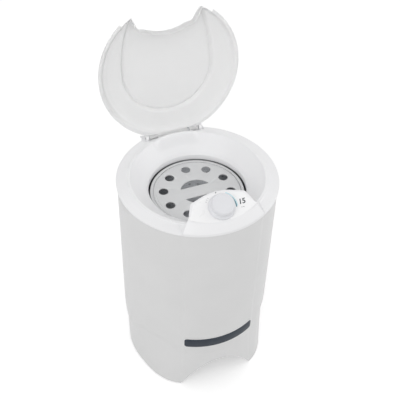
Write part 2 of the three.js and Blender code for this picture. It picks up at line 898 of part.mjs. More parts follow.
function consolePlan(inset) {
  const corner = consoleCorner;
  const sideRun = [consoleFrontX - consoleBackX, consoleFrontY - consoleBackY];
  const sideLength = Math.hypot(...sideRun);
  const alongSide = sideRun.map((run) => run / sideLength * corner);
  const backX = consoleBackX - inset;
  const backY = -consoleBackY - inset;
  const middleY = -consoleMiddleY - inset;
  const besideY = backY + corner * cornerRiseShare;
  const edge = around(consoleEdgeRadius - inset, consoleEdgeAngle);
  const edgeX = edge.x - inset;
  const edgeAngle = Math.atan2(edge.y, edgeX);
  const shape = new THREE.Shape();
  shape.moveTo(-edgeX, edge.y);
  shape.lineTo(-(consoleFrontX - inset), -consoleFrontY);
  shape.lineTo(-(backX + alongSide[0]), backY - alongSide[1]);
  shape.quadraticCurveTo(-backX, backY, -(backX - corner), besideY);
  shape.quadraticCurveTo(0, 2 * middleY - besideY, backX - corner, besideY);
  shape.quadraticCurveTo(backX, backY, backX + alongSide[0], backY - alongSide[1]);
  shape.lineTo(consoleFrontX - inset, -consoleFrontY);
  shape.lineTo(edgeX, edge.y);
  shape.absarc(0, 0, consoleEdgeRadius - inset, edgeAngle, -Math.PI - edgeAngle, true);
  return shape;
}

// Front slope of the console, a bulging surface round the cabinet's axis
function slopeSolid(inset, bottom) {
  const rows = slopeRowShares.map((share) => [
    slopeStartRadius + (consoleEdgeRadius - slopeStartRadius) * share - inset / 2,
    rimHeight + slopeStartRise + (consoleEdgeRise - slopeStartRise) * share
      + slopeBulge * bowAt(share) - inset,
  ]);
  const start = rows[0];
  return revolve([
    [0, bottom],
    [consoleEdgeRadius - inset, bottom],
    [consoleEdgeRadius - inset, rimHeight + consoleEdgeRise - inset / 2],
    ...rows.reverse(),
    [0, start[1]],
  ]);
}

function consoleForm(inset, bottom) {
  const top = faceHeight(-consoleMiddleY) + overrun;
  const plan = extrudeUp(consolePlan(inset), bottom, top, planFacets);
  const lower = inset / Math.cos(faceTilt * degree);
  const back = -mouthRadius / 2;
  const face = extrudeAlongX(outline([
    [back, bottom],
    [back, faceHeight(back) - lower],
    [-rimRadius, faceHeight(-rimRadius) - lower],
    [-rimRadius, bottom],
  ]), -rimRadius, rimRadius);
  return plan.intersect(face).intersect(slopeSolid(inset, bottom));
}

// Matrix of the knob's seat: origin on the face, Z along the face's normal
function faceFrame() {
  const tilt = new THREE.Matrix4().makeRotationX(faceTilt * degree);
  return shift(0, -knobY, faceHeight(-knobY)).multiply(tilt);
}

function controlConsole() {
  const bottom = rimHeight - consoleFootDrop;
  const outer = consoleForm(0, bottom);
  let housing = outer.subtract(consoleForm(consoleWall, bottom - overrun));
  [-consoleBossX, consoleBossX].forEach((x) => {
    const boss = post(consoleBossRadius, bottom, rimHeight + consoleBackRise, x, -consoleBossY);
    const bore = post(screwRadius + boreSlack, 0, rimHeight - clearance + consoleScrewLength,
      x, -consoleBossY, screwFacets);
    housing = housing.add(boss.intersect(outer)).subtract(bore);
  });
  const bush = toSolid(new THREE.CylinderGeometry(timerBushRadius + boreSlack, timerBushRadius + boreSlack,
    overrun, pinFacets).rotateX(Math.PI / 2), faceFrame());
  return cut(housing, [bush, underCollar(clearance, -overrun)]);
}

// Lid surface as [radius, rise] pairs from the axis outwards, up to its rim flange
function lidFace() {
  const crown = lidCrownShares.map((share) => [
    plateauRadius * share,
    crownRise - (crownRise - plateauRise) * share ** 2,
  ]);
  return [
    ...crown,
    [plateauFootRadius, plateauFootRise],
    [lidShoulderRadius, lidShoulderRise],
    [
      (lidShoulderRadius + lidWallTopRadius) / 2 + lidWall,
      (lidShoulderRise + lidWallTopRise) / 2 + lidWall / 2,
    ],
    [lidWallTopRadius, lidWallTopRise],
    [lidRimInner, lidRimRise + lidWall],
  ];
}

// Polyline moved to its right-hand side by a distance, with its corners mitred
function offsetLine(points, distance) {
  return points.map((point, i) => {
    const before = points[Math.max(0, i - 1)];
    const after = points[Math.min(points.length - 1, i + 1)];
    const first = new THREE.Vector2(point[0] - before[0], point[1] - before[1]);
    const second = new THREE.Vector2(after[0] - point[0], after[1] - point[1]);
    if (i === 0) first.copy(second);
    if (i === points.length - 1) second.copy(first);
    first.normalize();
    second.normalize();
    const mean = first.clone().add(second).normalize();
    const reach = distance / mean.dot(first);
    const radius = i === 0 ? point[0] : point[0] + mean.y * reach;
    return [radius, point[1] - mean.x * reach];
  });
}

function notchShape(grow) {
  const sideRun = [notchTipX - notchBackX, notchTipY - notchBackY];
  const reach = (rimRadius + overrun - notchBackY) / sideRun[1];
  const sideLength = Math.hypot(...sideRun);
  const alongSide = sideRun.map((run) => run / sideLength * notchCorner);
  const backX = notchBackX + grow;
  const backY = -notchBackY + grow;
  const middleY = -notchMiddleY + grow;
  const farX = backX + sideRun[0] * reach;
  const farY = backY - sideRun[1] * reach;
  const besideY = backY + notchCorner * cornerRiseShare;
  const shape = new THREE.Shape();
  shape.moveTo(-farX, farY);
  shape.lineTo(-(backX + alongSide[0]), backY - alongSide[1]);
  shape.quadraticCurveTo(-backX, backY, -(backX - notchCorner), besideY);
  shape.quadraticCurveTo(0, 2 * middleY - besideY, backX - notchCorner, besideY);
  shape.quadraticCurveTo(backX, backY, backX + alongSide[0], backY - alongSide[1]);
  shape.lineTo(farX, farY);
  return shape;
}

// The lid is built closed, in the room's frame, then moved to its hinge's frame
function lidShell() {
  const face = lidFace();
  const lift = (pairs) => pairs.map(([radius, rise]) => [radius, rimHeight + rise]);
  const under = offsetLine(face, lidWall).reverse();
  const rimTop = [lidRadius, lidRimRise + lidWall];
  const rimBottom = [lidRadius, lidRimRise];
  const rimFoot = [lidRimInner - lidWall / 2, lidRimRise];
  const dome = revolve(lift([...face, rimTop, rimBottom, rimFoot, ...under.slice(1)]));
  const full = revolve(lift([...face, [lidRimInner, skirtBottomRise], [0, skirtBottomRise]]));
  const high = rimHeight + crownRise + overrun;
  const notch = extrudeUp(notchShape(0), 0, high, planFacets);
  const skirt = extrudeUp(notchShape(lidWall), 0, high, planFacets).intersect(full);
  const hingeHeight = rimHeight + hingeRise;
  const barrel = rodAlongX(barrelRadius, -barrelHalfLength, barrelHalfLength, hingeY, hingeHeight);
  const frontRim = wedge(-lidStepAngle, lidStepAngle, rimRadius * 2, 0, high)
    .subtract(post(lidTipRadius, -overrun, high + overrun, 0, 0, fineFacets));
  const behind = block(
    [-barrelHalfLength - earGap, hingeY + barrelRadius / 2, 0],
    [barrelHalfLength + earGap, rimRadius, high],
  );
  const earRoom = block(
    [barrelHalfLength, hingeY - earRadius - runningGap, 0],
    [barrelHalfLength + 2 * earGap + earWidth, rimRadius, high],
  );
  const nib = block(
    [-switchPlace - nibWidth / 2, hingeY - nibThickness / 2, hingeHeight - nibReach],
    [-switchPlace + nibWidth / 2, hingeY + nibThickness / 2, hingeHeight],
  ).intersect(rodAlongX(nibReach, -rimRadius, rimRadius, hingeY, hingeHeight, fineFacets));
  const shaftBore = rodAlongX(hingeShaftRadius + boreSlack, -rimRadius / 2, rimRadius / 2,
    hingeY, hingeHeight);
  const crankRoom = rodAlongX(crankEyeRadius + runningGap, crankPlace - crankWidth / 2 - clearance,
    crankPlace + crankWidth / 2 + clearance, hingeY, hingeHeight);
  let shell = dome.add(skirt);
  shell = cut(shell, [notch, frontRim, behind, earRoom, mirrored(earRoom)]);
  shell = cut(joined([shell, barrel, nib]), [shaftBore, crankRoom]);
  return toSolid(toGeometry(shell), shift(0, -hingeY, -hingeHeight));
}

function hingeShaft() {
  const half = barrelHalfLength + earGap + earWidth + clearance;
  return rodAlongX(hingeShaftRadius, -half, half, 0, 0);
}

// Crank on the hinge shaft, in the hinge's frame with the lid closed
function brakeCrank() {
  const from = crankPlace - crankWidth / 2;
  const to = crankPlace + crankWidth / 2;
  const angle = (180 + crankAngle + openAngle) * degree;
  const tip = [crankLength * Math.cos(angle), crankLength * Math.sin(angle)];
  const across = [-Math.sin(angle) * crankTipRadius, Math.cos(angle) * crankTipRadius];
  const arm = outline([
    across,
    [across[0] + tip[0], across[1] + tip[1]],
    [tip[0] - across[0], tip[1] - across[1]],
    [-across[0], -across[1]],
  ]);
  const body = joined([
    rodAlongX(crankEyeRadius, from, to, 0, 0),
    extrudeAlongX(arm, from, to),
    rodAlongX(crankTipRadius, from, to, tip[0], tip[1], holeFacets),
  ]);
  return cut(body, [
    rodAlongX(hingeShaftRadius + boreSlack, from - overrun, to + overrun, 0, 0),
    rodAlongX(wireRadius + boreSlack, from - overrun, to + overrun, tip[0], tip[1], screwFacets),
  ]);
}

// Dark strip that follows the front panel between its two creases
function frontBadge() {
  const inner = sideRadius + panelRaise + clearance;
  const strip = tube(inner + badgeThickness, inner, badgeBottom, badgeTop, fineFacets);
  const sector = wedge(-badgeHalfAngle, badgeHalfAngle, rimRadius * 2, 0, rimHeight);
  return strip.intersect(sector);
}

function timerBody() {
  const top = -consoleWall - clearance;
  const box = block([-timerWidth / 2, -timerFront, top - timerDepth], [timerWidth / 2, timerBack, top]);
  const bush = post(timerBushRadius, top - clearance, 0);
  const bore = post(spindleRadius + boreSlack, -timerBoreDepth - boreSlack, overrun);
  return box.add(bush).subtract(bore);
}

function timerKnob() {
  const top = knobGap + knobHeight;
  const waist = (knobRadius + knobTopRadius) / 2;
  return revolve([
    [0, top],
    [knobTopRadius - knobSkirt, top - knobGap / 2],
    [knobTopRadius, top - knobSkirt],
    [waist, knobGap + 2 * knobSkirt],
    [knobRadius, knobGap + knobSkirt],
    [knobRadius, knobGap],
    [waist - knobSkirt / 2, knobGap],
    [knobTopRadius - knobSkirt, spindleRise],
    [knobBossRadius, spindleRise],
    [knobBossRadius, knobGap],
    [spindleRadius + boreSlack, knobGap],
    [spindleRadius + boreSlack, spindleRise + 2 * boreSlack],
    [0, spindleRise + 2 * boreSlack],
  ], motorFacets);
}

function timerSpindle() {
  return post(spindleRadius, -timerBoreDepth, spindleRise);
}

function lidSwitch() {
  const top = rimHeight - collarLip - clearance;
  const body = block([-switchPlace - switchWidth / 2, hingeY - switchLength / 2, top - switchDepth],
    [-switchPlace + switchWidth / 2, hingeY + switchLength / 2, top]);
  const bottom = rimHeight - troughDrop + plungerProud - plungerLength - plungerTravel - boreSlack;
  return body.subtract(post(plungerRadius + boreSlack, bottom, rimHeight, -switchPlace, hingeY));
}

function switchPlunger() {
  const top = rimHeight - troughDrop + plungerProud;
  return post(plungerRadius, top - plungerLength, top, -switchPlace, hingeY);
}

function baseFrame() {
  const top = frameBottom + frameWall;
  const ring = revolve([
    [frameHoleRadius, frameBottom],
    [frameRadius, frameBottom],
    [frameRadius, top],
    [frameHoleRadius + frameWall, top],
    [frameHoleRadius + frameWall, top + frameUpstand],
    [frameHoleRadius, top + frameUpstand],
  ], drumFacets);
  const posts = springAngles.map((angle) => {
    const place = around(springCircle, angle);
    return post(springPostRadius, frameBottom, top + lowerPostHeight, place.x, place.y);
  });
  const lightHoles = lightHoleAngles.map((angle) => {
    const place = around(lightHoleCircle, angle);
    return post(lightHoleRadius, 0, rimHeight, place.x, place.y, holeFacets);
  });
  const screwHoles = frameBossAngles.map((angle) => {
    const place = around(frameScrewCircle, angle);
    return post(screwRadius + boreSlack, 0, rimHeight, place.x, place.y, screwFacets);
  });
  const drainHole = post(drainHoleRadius, 0, rimHeight, 0, drainY);
  return cut(joined([ring, ...posts]), [...lightHoles, ...screwHoles, drainHole]);
}

class Coil extends THREE.Curve {
  constructor(radius, low, high, turns) {
    super();
    Object.assign(this, { radius, low, high, turns });
  }

  getPoint(share, target = new THREE.Vector3()) {
    const angle = 2 * Math.PI * this.turns * share;
    const height = this.low + (this.high - this.low) * share;
    return target.set(this.radius * Math.cos(angle), this.radius * Math.sin(angle), height);
  }
}

function spring(angle) {
  const place = around(springCircle, angle);
  const low = frameBottom + frameWall + springWire + clearance;
  const high = plateBottom - springWire - clearance;
  const coil = new Coil(springMeanRadius, low, high, springTurns);
  const tubeSolid = pipe(coil, springWire, springTurns * springStepsPerTurn, wireFacets);
  return toSolid(toGeometry(tubeSolid), shift(place.x, place.y, 0));
}

function suspensionPlate() {
  const top = plateBottom + plateWall;
  const plate = tube(plateRadius, shaftRadius + springMeanRadius, plateBottom, top, drumFacets);
  const posts = springAngles.map((angle) => {
    const place = around(springCircle, angle);
    return post(springPostRadius, plateBottom - upperPostHeight, top, place.x, place.y);
  });
  const screwHoles = springAngles.map((angle) => {
    const place = around(motorScrewCircle, angle);
    return post(screwRadius + boreSlack, 0, rimHeight, place.x, place.y, screwFacets);
  });
  return cut(joined([plate, ...posts]), screwHoles);
}

function outerTub() {
  const floorTop = tubFloor + tubWall;
  const inner = tubRadius - tubWall;
  const bearingSeat = bearingRadius + boreSlack;
  const sealSeat = sealRadius + boreSlack;
  const shoulder = sealRadius - sealShoulder;
  const bearingTop = tubBossBottom + clearance + bearingHeight + clearance;
  const sealBottom = tubBossTop - sealHeight - clearance;
  const bowl = revolve([
    [bearingRadius + tubWall, tubFloor],
    [tubRadius - tubCornerSize, tubFloor],
    [tubRadius, tubFloor + tubCornerSize],
    [tubRadius, tubTop],
    [inner, tubTop],
    [inner, floorTop + tubCornerSize - tubWall / 2],
    [inner - tubCornerSize + tubWall / 2, floorTop],
    [bearingRadius + tubWall, floorTop],
  ], drumFacets);
  const boss = revolve([
    [bearingSeat, tubBossBottom],
    [tubBossRadius, tubBossBottom],
    [tubBossRadius, tubBossTop],
    [sealSeat, tubBossTop],
    [sealSeat, sealBottom],
    [shoulder, sealBottom],
    [shoulder, bearingTop],
    [bearingSeat, bearingTop],
  ], motorFacets);
  const legs = tubLegAngles.map((angle) => {
    const place = around(tubLegCircle, angle);
    const foot = plateBottom + plateWall + clearance;
    return post(tubLegRadius, foot, tubFloor + tubWall / 2, place.x, place.y);
  });
  return joined([bowl, boss, ...legs]).subtract(post(drainBore, 0, tubBossTop, 0, drainY));
}

function tubCover() {
  const low = tubTop + clearance;
  const skirtInner = tubRadius + clearance;
  return revolve([
    [coverHoleRadius, low],
    [skirtInner, low],
    [skirtInner, low - coverSkirt],
    [skirtInner + coverWall, low - coverSkirt],
    [skirtInner + coverWall, low + coverWall],
    [coverHoleRadius, low + coverWall],
  ], drumFacets);
}

function tubGasket() {
  const inner = mouthRadius + collarWall + clearance;
  const low = tubTop + clearance + coverWall + clearance;
  return revolve([
    [inner, low],
    [inner + gasketFoot, low],
    [inner + gasketThickness, low + gasketHeight],
    [inner, low + gasketHeight],
  ]);
}

// Spout from the tub's floor, down and out through the rear arch
function drainSpout() {
  const top = tubFloor - clearance;
  const path = new THREE.CurvePath();
  const bendStart = new THREE.Vector3(0, drainY, drainOutletHeight + drainBend);
  const bendEnd = new THREE.Vector3(0, drainY + drainBend, drainOutletHeight);
  const corner = new THREE.Vector3(0, drainY, drainOutletHeight);
  path.add(new THREE.LineCurve3(new THREE.Vector3(0, drainY, top), bendStart));
  path.add(new THREE.QuadraticBezierCurve3(bendStart, corner, bendEnd));
  path.add(new THREE.LineCurve3(bendEnd, new THREE.Vector3(0, drainOutletY, drainOutletHeight)));
  const longPath = new THREE.CurvePath();
  longPath.add(new THREE.LineCurve3(new THREE.Vector3(0, drainY, top + overrun), bendStart));
  longPath.add(new THREE.QuadraticBezierCurve3(bendStart, corner, bendEnd));
  const pastOutlet = new THREE.Vector3(0, drainOutletY + overrun, drainOutletHeight);
  longPath.add(new THREE.LineCurve3(bendEnd, pastOutlet));
  const outer = pipe(path, drainTubeRadius, spoutSteps, pinFacets);
  const flange = post(drainTubeRadius + tubWall, top - tubWall, top, 0, drainY);
  return outer.add(flange).subtract(pipe(longPath, drainBore, spoutSteps, pinFacets));
}

function basketDrum() {
  const top = basketTop;
  const lip = seatRadius - seatWidth;
  const seat = top - seatDepth;
  const neckBottom = top - neckHeight;
  const shoulderBottom = top - basketShoulderHeight;
  const outer = [
    [hubRadius + boreSlack, basketFloor],
    [basketRadius - basketCorner, basketFloor],
    [basketRadius, basketFloor + basketCorner],
    [basketRadius, shoulderBottom],
    [neckRadius, neckBottom],
    [neckRadius, top],
    [seatRadius, top],
    [seatRadius, seat],
    [lip, seat],
  ];
  const inner = offsetLine(outer.slice(0, 5), -basketWall).reverse();
  inner[0] = [seatRadius + basketWall, seat - basketWall];
  const drum = revolve([...outer, [lip, seat - basketWall], ...inner]);
  const holes = [];
  for (let row = 0; row < perforationRows; row += 1) {
    for (let pair = 0; pair < perforationPairs; pair += 1) {
      const angle = 180 * (pair / perforationPairs + 1 / fineFacets) + row * perforationTwist;
      const length = 2 * basketRadius + overrun;
      const rod = new THREE.CylinderGeometry(perforationRadius, perforationRadius, length,
        perforationFacets);
      holes.push(toSolid(rod, turnedAt(0, 0, perforationBottom + row * perforationPitch, angle)));
    }
  }
  return cut(drum, holes);
}

function basketHub() {
  const bore = shaftRadius + boreSlack;
  const flangeTop = basketFloor - clearance;
  return revolve([
    [bore, flangeTop - hubFlange],
    [hubFlangeRadius, flangeTop - hubFlange],
    [hubFlangeRadius, flangeTop],
    [hubRadius, flangeTop],
    [hubRadius, basketFloor + hubHeight],
    [bore, basketFloor + hubHeight],
  ], motorFacets);
}

function hubNut() {
  const low = basketFloor + hubHeight + clearance;
  return post(nutRadius, low, low + nutHeight, 0, 0, screwFacets)
    .subtract(post(shaftRadius + boreSlack, low - overrun, low + overrun));
}

function driveShaft() {
  const chamfer = shaftChamfer;
  return revolve([
    [0, shaftBottom],
    [shaftRadius - chamfer, shaftBottom],
    [shaftRadius, shaftBottom + chamfer],
    [shaftRadius, shaftTop - chamfer],
    [shaftRadius - chamfer, shaftTop],
    [0, shaftTop],
  ], pinFacets);
}

// Loose disc with a ring of round holes and two finger openings beside its handle bar
function basketLid() {
  const low = basketTop - seatDepth + clearance;
  const high = low + discThickness;
  const disc = post(discRadius, low, high, 0, 0, fineFacets);
  const holes = [];
  for (let i = 0; i < discHoleCount; i += 1) {
    const place = around(discHoleCircle, 360 * i / discHoleCount);
    holes.push(post(discHoleRadius, 0, rimHeight, place.x, place.y, pinFacets));
  }
  const moonAngle = Math.asin(fingerBarHalf / fingerArcRadius);
  const moon = new THREE.Shape();
  moon.absarc(0, 0, fingerArcRadius, moonAngle, Math.PI - moonAngle, false);
  const rear = extrudeUp(moon, 0, rimHeight, moonFacets);
  const front = toSolid(toGeometry(rear), new THREE.Matrix4().makeRotationZ(Math.PI));
  return cut(disc, [...holes, rear, front]);
}

function bearing(outer, low, high) {
  return tube(outer, shaftRadius + boreSlack, low, high, motorFacets);
}

function upperBearing() {
  const low = tubBossBottom + clearance;
  return bearing(bearingRadius, low, low + bearingHeight);
}

function shaftSeal() {
  return bearing(sealRadius, tubBossTop - sealHeight, tubBossTop - clearance);
}

function lowerBearing() {
  const low = motorBottom + motorFloorWall + bearingLift + clearance;
  return bearing(sealRadius, low, low + lowerBearingHeight);
}

function motorHousing() {
  const top = plateBottom - 2 * clearance - shieldThickness;
  const inner = motorRadius - motorWall;
  const floorTop = motorBottom + motorFloorWall;
  const corner = 2 * motorFloorWall;
  const seat = sealRadius + boreSlack;
  const seatBottom = floorTop + bearingLift;
  const bossTop = seatBottom + lowerBearingHeight + 2 * clearance;
  const can = revolve([
    [shaftRadius + motorFloorGap, motorBottom],
    [motorRadius - corner, motorBottom],
    [motorRadius, motorBottom + corner],
    [motorRadius, top - clearance],
    [inner, top - clearance],
    [inner, floorTop + corner / 2],
    [inner - corner / 2, floorTop],
    [seat + motorWall, floorTop],
    [seat + motorWall, bossTop],
    [seat, bossTop],
    [seat, seatBottom],
    [shaftRadius + motorFloorGap, seatBottom],
  ], motorFacets);
  const slot = toGeometry(block(
    [-ventHalfWidth, -motorRadius - overrun, ventBottom],
    [ventHalfWidth, motorRadius + overrun, ventTop],
  ));
  const vents = ventAngles.map((angle) => toSolid(slot, turnedAt(0, 0, 0, angle)));
  return cut(can, vents);
}

function motorEndShield() {
  const top = plateBottom - clearance;
  const shield = tube(shieldRadius, shaftRadius + runningGap, top - shieldThickness, top, motorFacets);
  const holes = springAngles.map((angle) => {
    const place = around(motorScrewCircle, angle);
    return post(screwRadius + boreSlack, 0, rimHeight, place.x, place.y, screwFacets);
  });
  return cut(shield, holes);
}

function motorStator() {
  const outer = motorRadius - motorWall - clearance;
  const middle = (outer + statorInner) / 2;
  const half = windingRise / 2;
  return revolve([
    [statorInner, statorBottom],
    [middle - half, statorBottom - windingRise],
    [middle + half, statorBottom - windingRise],
    [outer, statorBottom],
    [outer, statorTop],
    [middle + half, statorTop + windingRise],
    [middle - half, statorTop + windingRise],
    [statorInner, statorTop],
  ], motorFacets);
}

function motorRotor() {
  return tube(statorInner - rotorGap, shaftRadius + boreSlack, statorBottom, statorTop, motorFacets);
}

function brakeDrum() {
  const bore = shaftRadius + boreSlack;
  const hub = shaftRadius + 2 * brakeDrumWall;
  const high = brakeDrumBottom + brakeDrumHeight;
  const web = brakeDrumBottom + brakeDrumWall;
  return revolve([
    [bore, brakeDrumBottom],
    [brakeDrumRadius, brakeDrumBottom],
    [brakeDrumRadius, high],
    [brakeDrumRadius - brakeDrumWall, high],
    [brakeDrumRadius - brakeDrumWall, web],
    [hub, web],
    [hub, high],
    [bore, high],
  ], motorFacets);
}

function brakeLining() {
  const inner = brakeDrumRadius + liningGap;
  return tube(inner + liningThickness, inner, leverBottom, leverBottom + leverThickness, drumFacets * 2)
    .intersect(wedge(180 - liningHalfAngle, 180 + liningHalfAngle, 2 * brakeDrumRadius, 0, rimHeight));
}

function brakeLever() {
  const top = leverBottom + leverThickness;
  const carrierInner = brakeDrumRadius + liningGap + liningThickness + clearance;
  const carrier = tube(carrierInner + carrierThickness, carrierInner, leverBottom, top, drumFacets * 2)
    .intersect(wedge(180 - liningHalfAngle, 180 + liningHalfAngle, 2 * brakeDrumRadius, 0, rimHeight));
  const half = leverWidth / 2;
  const bar = block([-pivotX, pivotY - half, leverBottom], [leverEndX + half, pivotY + half, top]);
  const web = block([-half, carrierInner + carrierThickness / 2, leverBottom], [half, pivotY, top]);
  const eye = post(leverEyeRadius, leverBottom, top, -pivotX, pivotY);
  return joined([carrier, bar, web, eye])
    .subtract(post(pivotRadius + boreSlack, 0, rimHeight, -pivotX, pivotY));
}

function pivotPin() {
  const low = plateBottom + plateWall + clearance;
  const head = pivotHeadRadius;
  const shoulder = leverBottom - clearance;
  const top = leverBottom + leverThickness + clearance;
  return revolve([
    [0, low],
    [head, low],
    [head, shoulder],
    [pivotRadius, shoulder],
    [pivotRadius, top],
    [head, top],
    [head, top + plateWall / 2],
    [0, top + plateWall / 2],
  ], pinFacets, shift(-pivotX, pivotY, 0));
}

function brakeWire() {
  const from = pivotY + leverWidth / 2 + clearance;
  const height = leverBottom + leverThickness / 2;
  return rodAlongY(wireRadius, from, from + wireLength, leverEndX, height, wireFacets);
}

function cableFerrule() {
  const from = pivotY + leverWidth / 2 + ferruleGap;
  const height = leverBottom + leverThickness / 2;
  return block([leverEndX - ferruleRadius, from, plateBottom + plateWall + clearance],
    [leverEndX + ferruleRadius, from + ferruleLength, height + ferruleRadius])
    .subtract(rodAlongY(ferruleBore, 0, rimRadius, leverEndX, height));
}

// Sheath from the ferrule out to the cabinet wall and up to its socket under the collar
function brakeCable() {
  const start = pivotY + leverWidth / 2 + ferruleGap + ferruleLength + clearance;
  const height = leverBottom + leverThickness / 2;
  const end = sheathTop();
  const top = rimHeight - collarLip - 2 * clearance;
  const path = new THREE.CurvePath();
  const bendStart = new THREE.Vector3(leverEndX, end.y - sheathBend, height);
  const bendEnd = new THREE.Vector3(leverEndX, end.y, height + sheathBend);
  const corner = new THREE.Vector3(leverEndX, end.y, height);
  path.add(new THREE.LineCurve3(new THREE.Vector3(leverEndX, start, height), bendStart));
  path.add(new THREE.QuadraticBezierCurve3(bendStart, corner, bendEnd));
  path.add(new THREE.LineCurve3(bendEnd, new THREE.Vector3(leverEndX, end.y, top)));
  return pipe(path, sheathRadius, sheathSteps, sheathFacets);
}

function capacitor() {
  const height = frameBottom + frameWall + clipWall + clearance + capacitorRadius;
  return rodAlongY(capacitorRadius, -capacitorLength / 2, capacitorLength / 2, -capacitorX, height);
}

// Strap that lies under and over the can, with a foot at each side
function capacitorClip() {
  const low = frameBottom + frameWall + clearance;
  const height = low - clearance + clipWall + clearance + capacitorRadius;
  const inner = capacitorRadius + clearance;
  const half = clipWidth / 2;
  const reach = inner + clipWall + clipFoot;
  const strap = rodAlongY(inner + clipWall, -half, half, -capacitorX, height)
    .add(block([-capacitorX - reach, -half, low], [-capacitorX + reach, half, low + clipWall]));
  const under = block([-capacitorX - reach, -clipWidth, 0], [-capacitorX + reach, clipWidth, low]);
  return cut(strap, [rodAlongY(inner, -clipWidth, clipWidth, -capacitorX, height), under]);
}

function cableGland() {
  const inside = Math.sqrt((sideRadius - shellWall) ** 2 - glandX ** 2) - glandFlange;
  const nearX = glandX - glandFlangeRadius;
  const from = Math.sqrt((sideRadius + panelRaise) ** 2 - nearX ** 2) + clearance;
  const to = from + glandFlange;
  const stem = rodAlongY(glandRadius, inside - glandLength / 2, to, glandX, glandHeight);
  const flange = rodAlongY(glandFlangeRadius, from, to, glandX, glandHeight);
  return stem.add(flange).subtract(rodAlongY(glandBore, 0, rimRadius + overrun, glandX, glandHeight));
}

function footPad(angle) {
  const place = around(padCircle, angle);
  const high = shellBottom - clearance;
  return revolve([
    [0, 0],
    [padRadius - high / 2, 0],
    [padRadius, high / 2],
    [padRadius, high],
    [padStemRadius, high],
    [padStemRadius, padStemHeight],
    [0, padStemHeight],
  ], holeFacets, shift(place.x, place.y, 0));
}

// Screw standing head up, its head's underside at the given height
function screwDown(x, y, height, length) {
  return revolve([
    [0, height - length],
    [screwRadius, height - length],
    [screwRadius, height],
    [screwHeadRadius, height],
    [screwHeadRadius, height + screwHeadHeight],
    [0, height + screwHeadHeight],
  ], screwFacets, shift(x, y, 0));
}

function screwUp(x, y, height, length) {
  return revolve([
    [0, height - screwHeadHeight],
    [screwHeadRadius, height - screwHeadHeight],
    [screwHeadRadius, height],
    [screwRadius, height],
    [screwRadius, height + length],
    [0, height + length],
  ], screwFacets, shift(x, y, 0));
}

const sideNames = ['front_right', 'rear_right', 'rear_left', 'front_left'];
const springNames = ['front', 'right', 'left'];

const cabinet = addGroup();
addPiece(cabinet, 'cabinet_shell', cabinetShell(), bodyPlastic);
addPiece(cabinet, 'top_collar', topCollar(), whitePlastic);
addPiece(cabinet, 'control_console', controlConsole(), whitePlastic);
addPiece(cabinet, 'front_badge', frontBadge(), badgeDark);
addPiece(cabinet, 'lid_switch', lidSwitch(), blackPlastic);
addPiece(cabinet, 'cable_gland', cableGland(), blackPlastic);
addPiece(cabinet, 'base_frame', baseFrame(), paintedSteel);
addPiece(cabinet, 'capacitor', capacitor(), castMetal);
addPiece(cabinet, 'capacitor_clip', capacitorClip(), plainSteel);
addPiece(cabinet, 'brake_cable', brakeCable(), blackPlastic);
springAngles.forEach((angle, i) => {
  addPiece(cabinet, `spring_${springNames[i]}`, spring(angle), plainSteel);
});
padAngles.forEach((angle, i) => {
  addPiece(cabinet, `foot_${sideNames[i]}`, footPad(angle), rubber);
});
frameBossAngles.forEach((angle, i) => {
  const place = around(frameScrewCircle, angle);
  const height = frameBottom + frameWall + clearance;
  addPiece(cabinet, `frame_screw_${sideNames[i]}`,
    screwDown(place.x, place.y, height, frameScrewLength), plainSteel);
});
['left', 'right'].forEach((side, i) => {
  const x = (2 * i - 1) * consoleBossX;
  addPiece(cabinet, `console_screw_${side}`,
    screwUp(x, -consoleBossY, rimHeight - collarWall, consoleScrewLength), plainSteel);
});

const timer = addGroup(cabinet);
timer.applyMatrix4(faceFrame());
addPiece(timer, 'timer_body', timerBody(), blackPlastic);
addPiece(timer, 'timer_knob', timerKnob(), knobPlastic);
addPiece(timer, 'timer_spindle', timerSpindle(), plainSteel);

const suspended = addGroup();
addPiece(suspended, 'suspension_plate', suspensionPlate(), paintedSteel);
addPiece(suspended, 'outer_tub', outerTub(), tubPlastic);
addPiece(suspended, 'tub_cover', tubCover(), tubPlastic);
addPiece(suspended, 'tub_gasket', tubGasket(), rubber);
addPiece(suspended, 'drain_spout', drainSpout(), blackPlastic);
addPiece(suspended, 'bearing_upper', upperBearing(), plainSteel);
addPiece(suspended, 'shaft_seal', shaftSeal(), rubber);
addPiece(suspended, 'motor_housing', motorHousing(), castMetal);
addPiece(suspended, 'motor_end_shield', motorEndShield(), castMetal);
addPiece(suspended, 'motor_stator', motorStator(), plainSteel);
addPiece(suspended, 'bearing_lower', lowerBearing(), plainSteel);
addPiece(suspended, 'brake_pivot_pin', pivotPin(), plainSteel);
addPiece(suspended, 'cable_ferrule', cableFerrule(), blackPlastic);
springAngles.forEach((angle, i) => {
  const place = around(motorScrewCircle, angle);
  const height = plateBottom + plateWall + clearance;
  addPiece(suspended, `motor_screw_${springNames[i]}`,
    screwDown(place.x, place.y, height, motorScrewLength), plainSteel);
});

const brake = addGroup(suspended);
addPiece(brake, 'brake_lever', brakeLever(), plainSteel);
addPiece(brake, 'brake_lining', brakeLining(), frictionMaterial);
addPiece(brake, 'brake_wire', brakeWire(), plainSteel);

const basket = addGroup(suspended);
addPiece(basket, 'basket_drum', basketDrum(), stainless);
addPiece(basket, 'basket_hub', basketHub(), castMetal);
addPiece(basket, 'hub_nut', hubNut(), plainSteel);
addPiece(basket, 'drive_shaft', driveShaft(), plainSteel);
addPiece(basket, 'motor_rotor', motorRotor(), plainSteel);
addPiece(basket, 'brake_drum', brakeDrum(), castMetal);
addPiece(basket, 'basket_lid', basketLid(), greyPlastic);

const switchGroup = addGroup(cabinet);
addPiece(switchGroup, 'switch_plunger', switchPlunger(), whitePlastic);

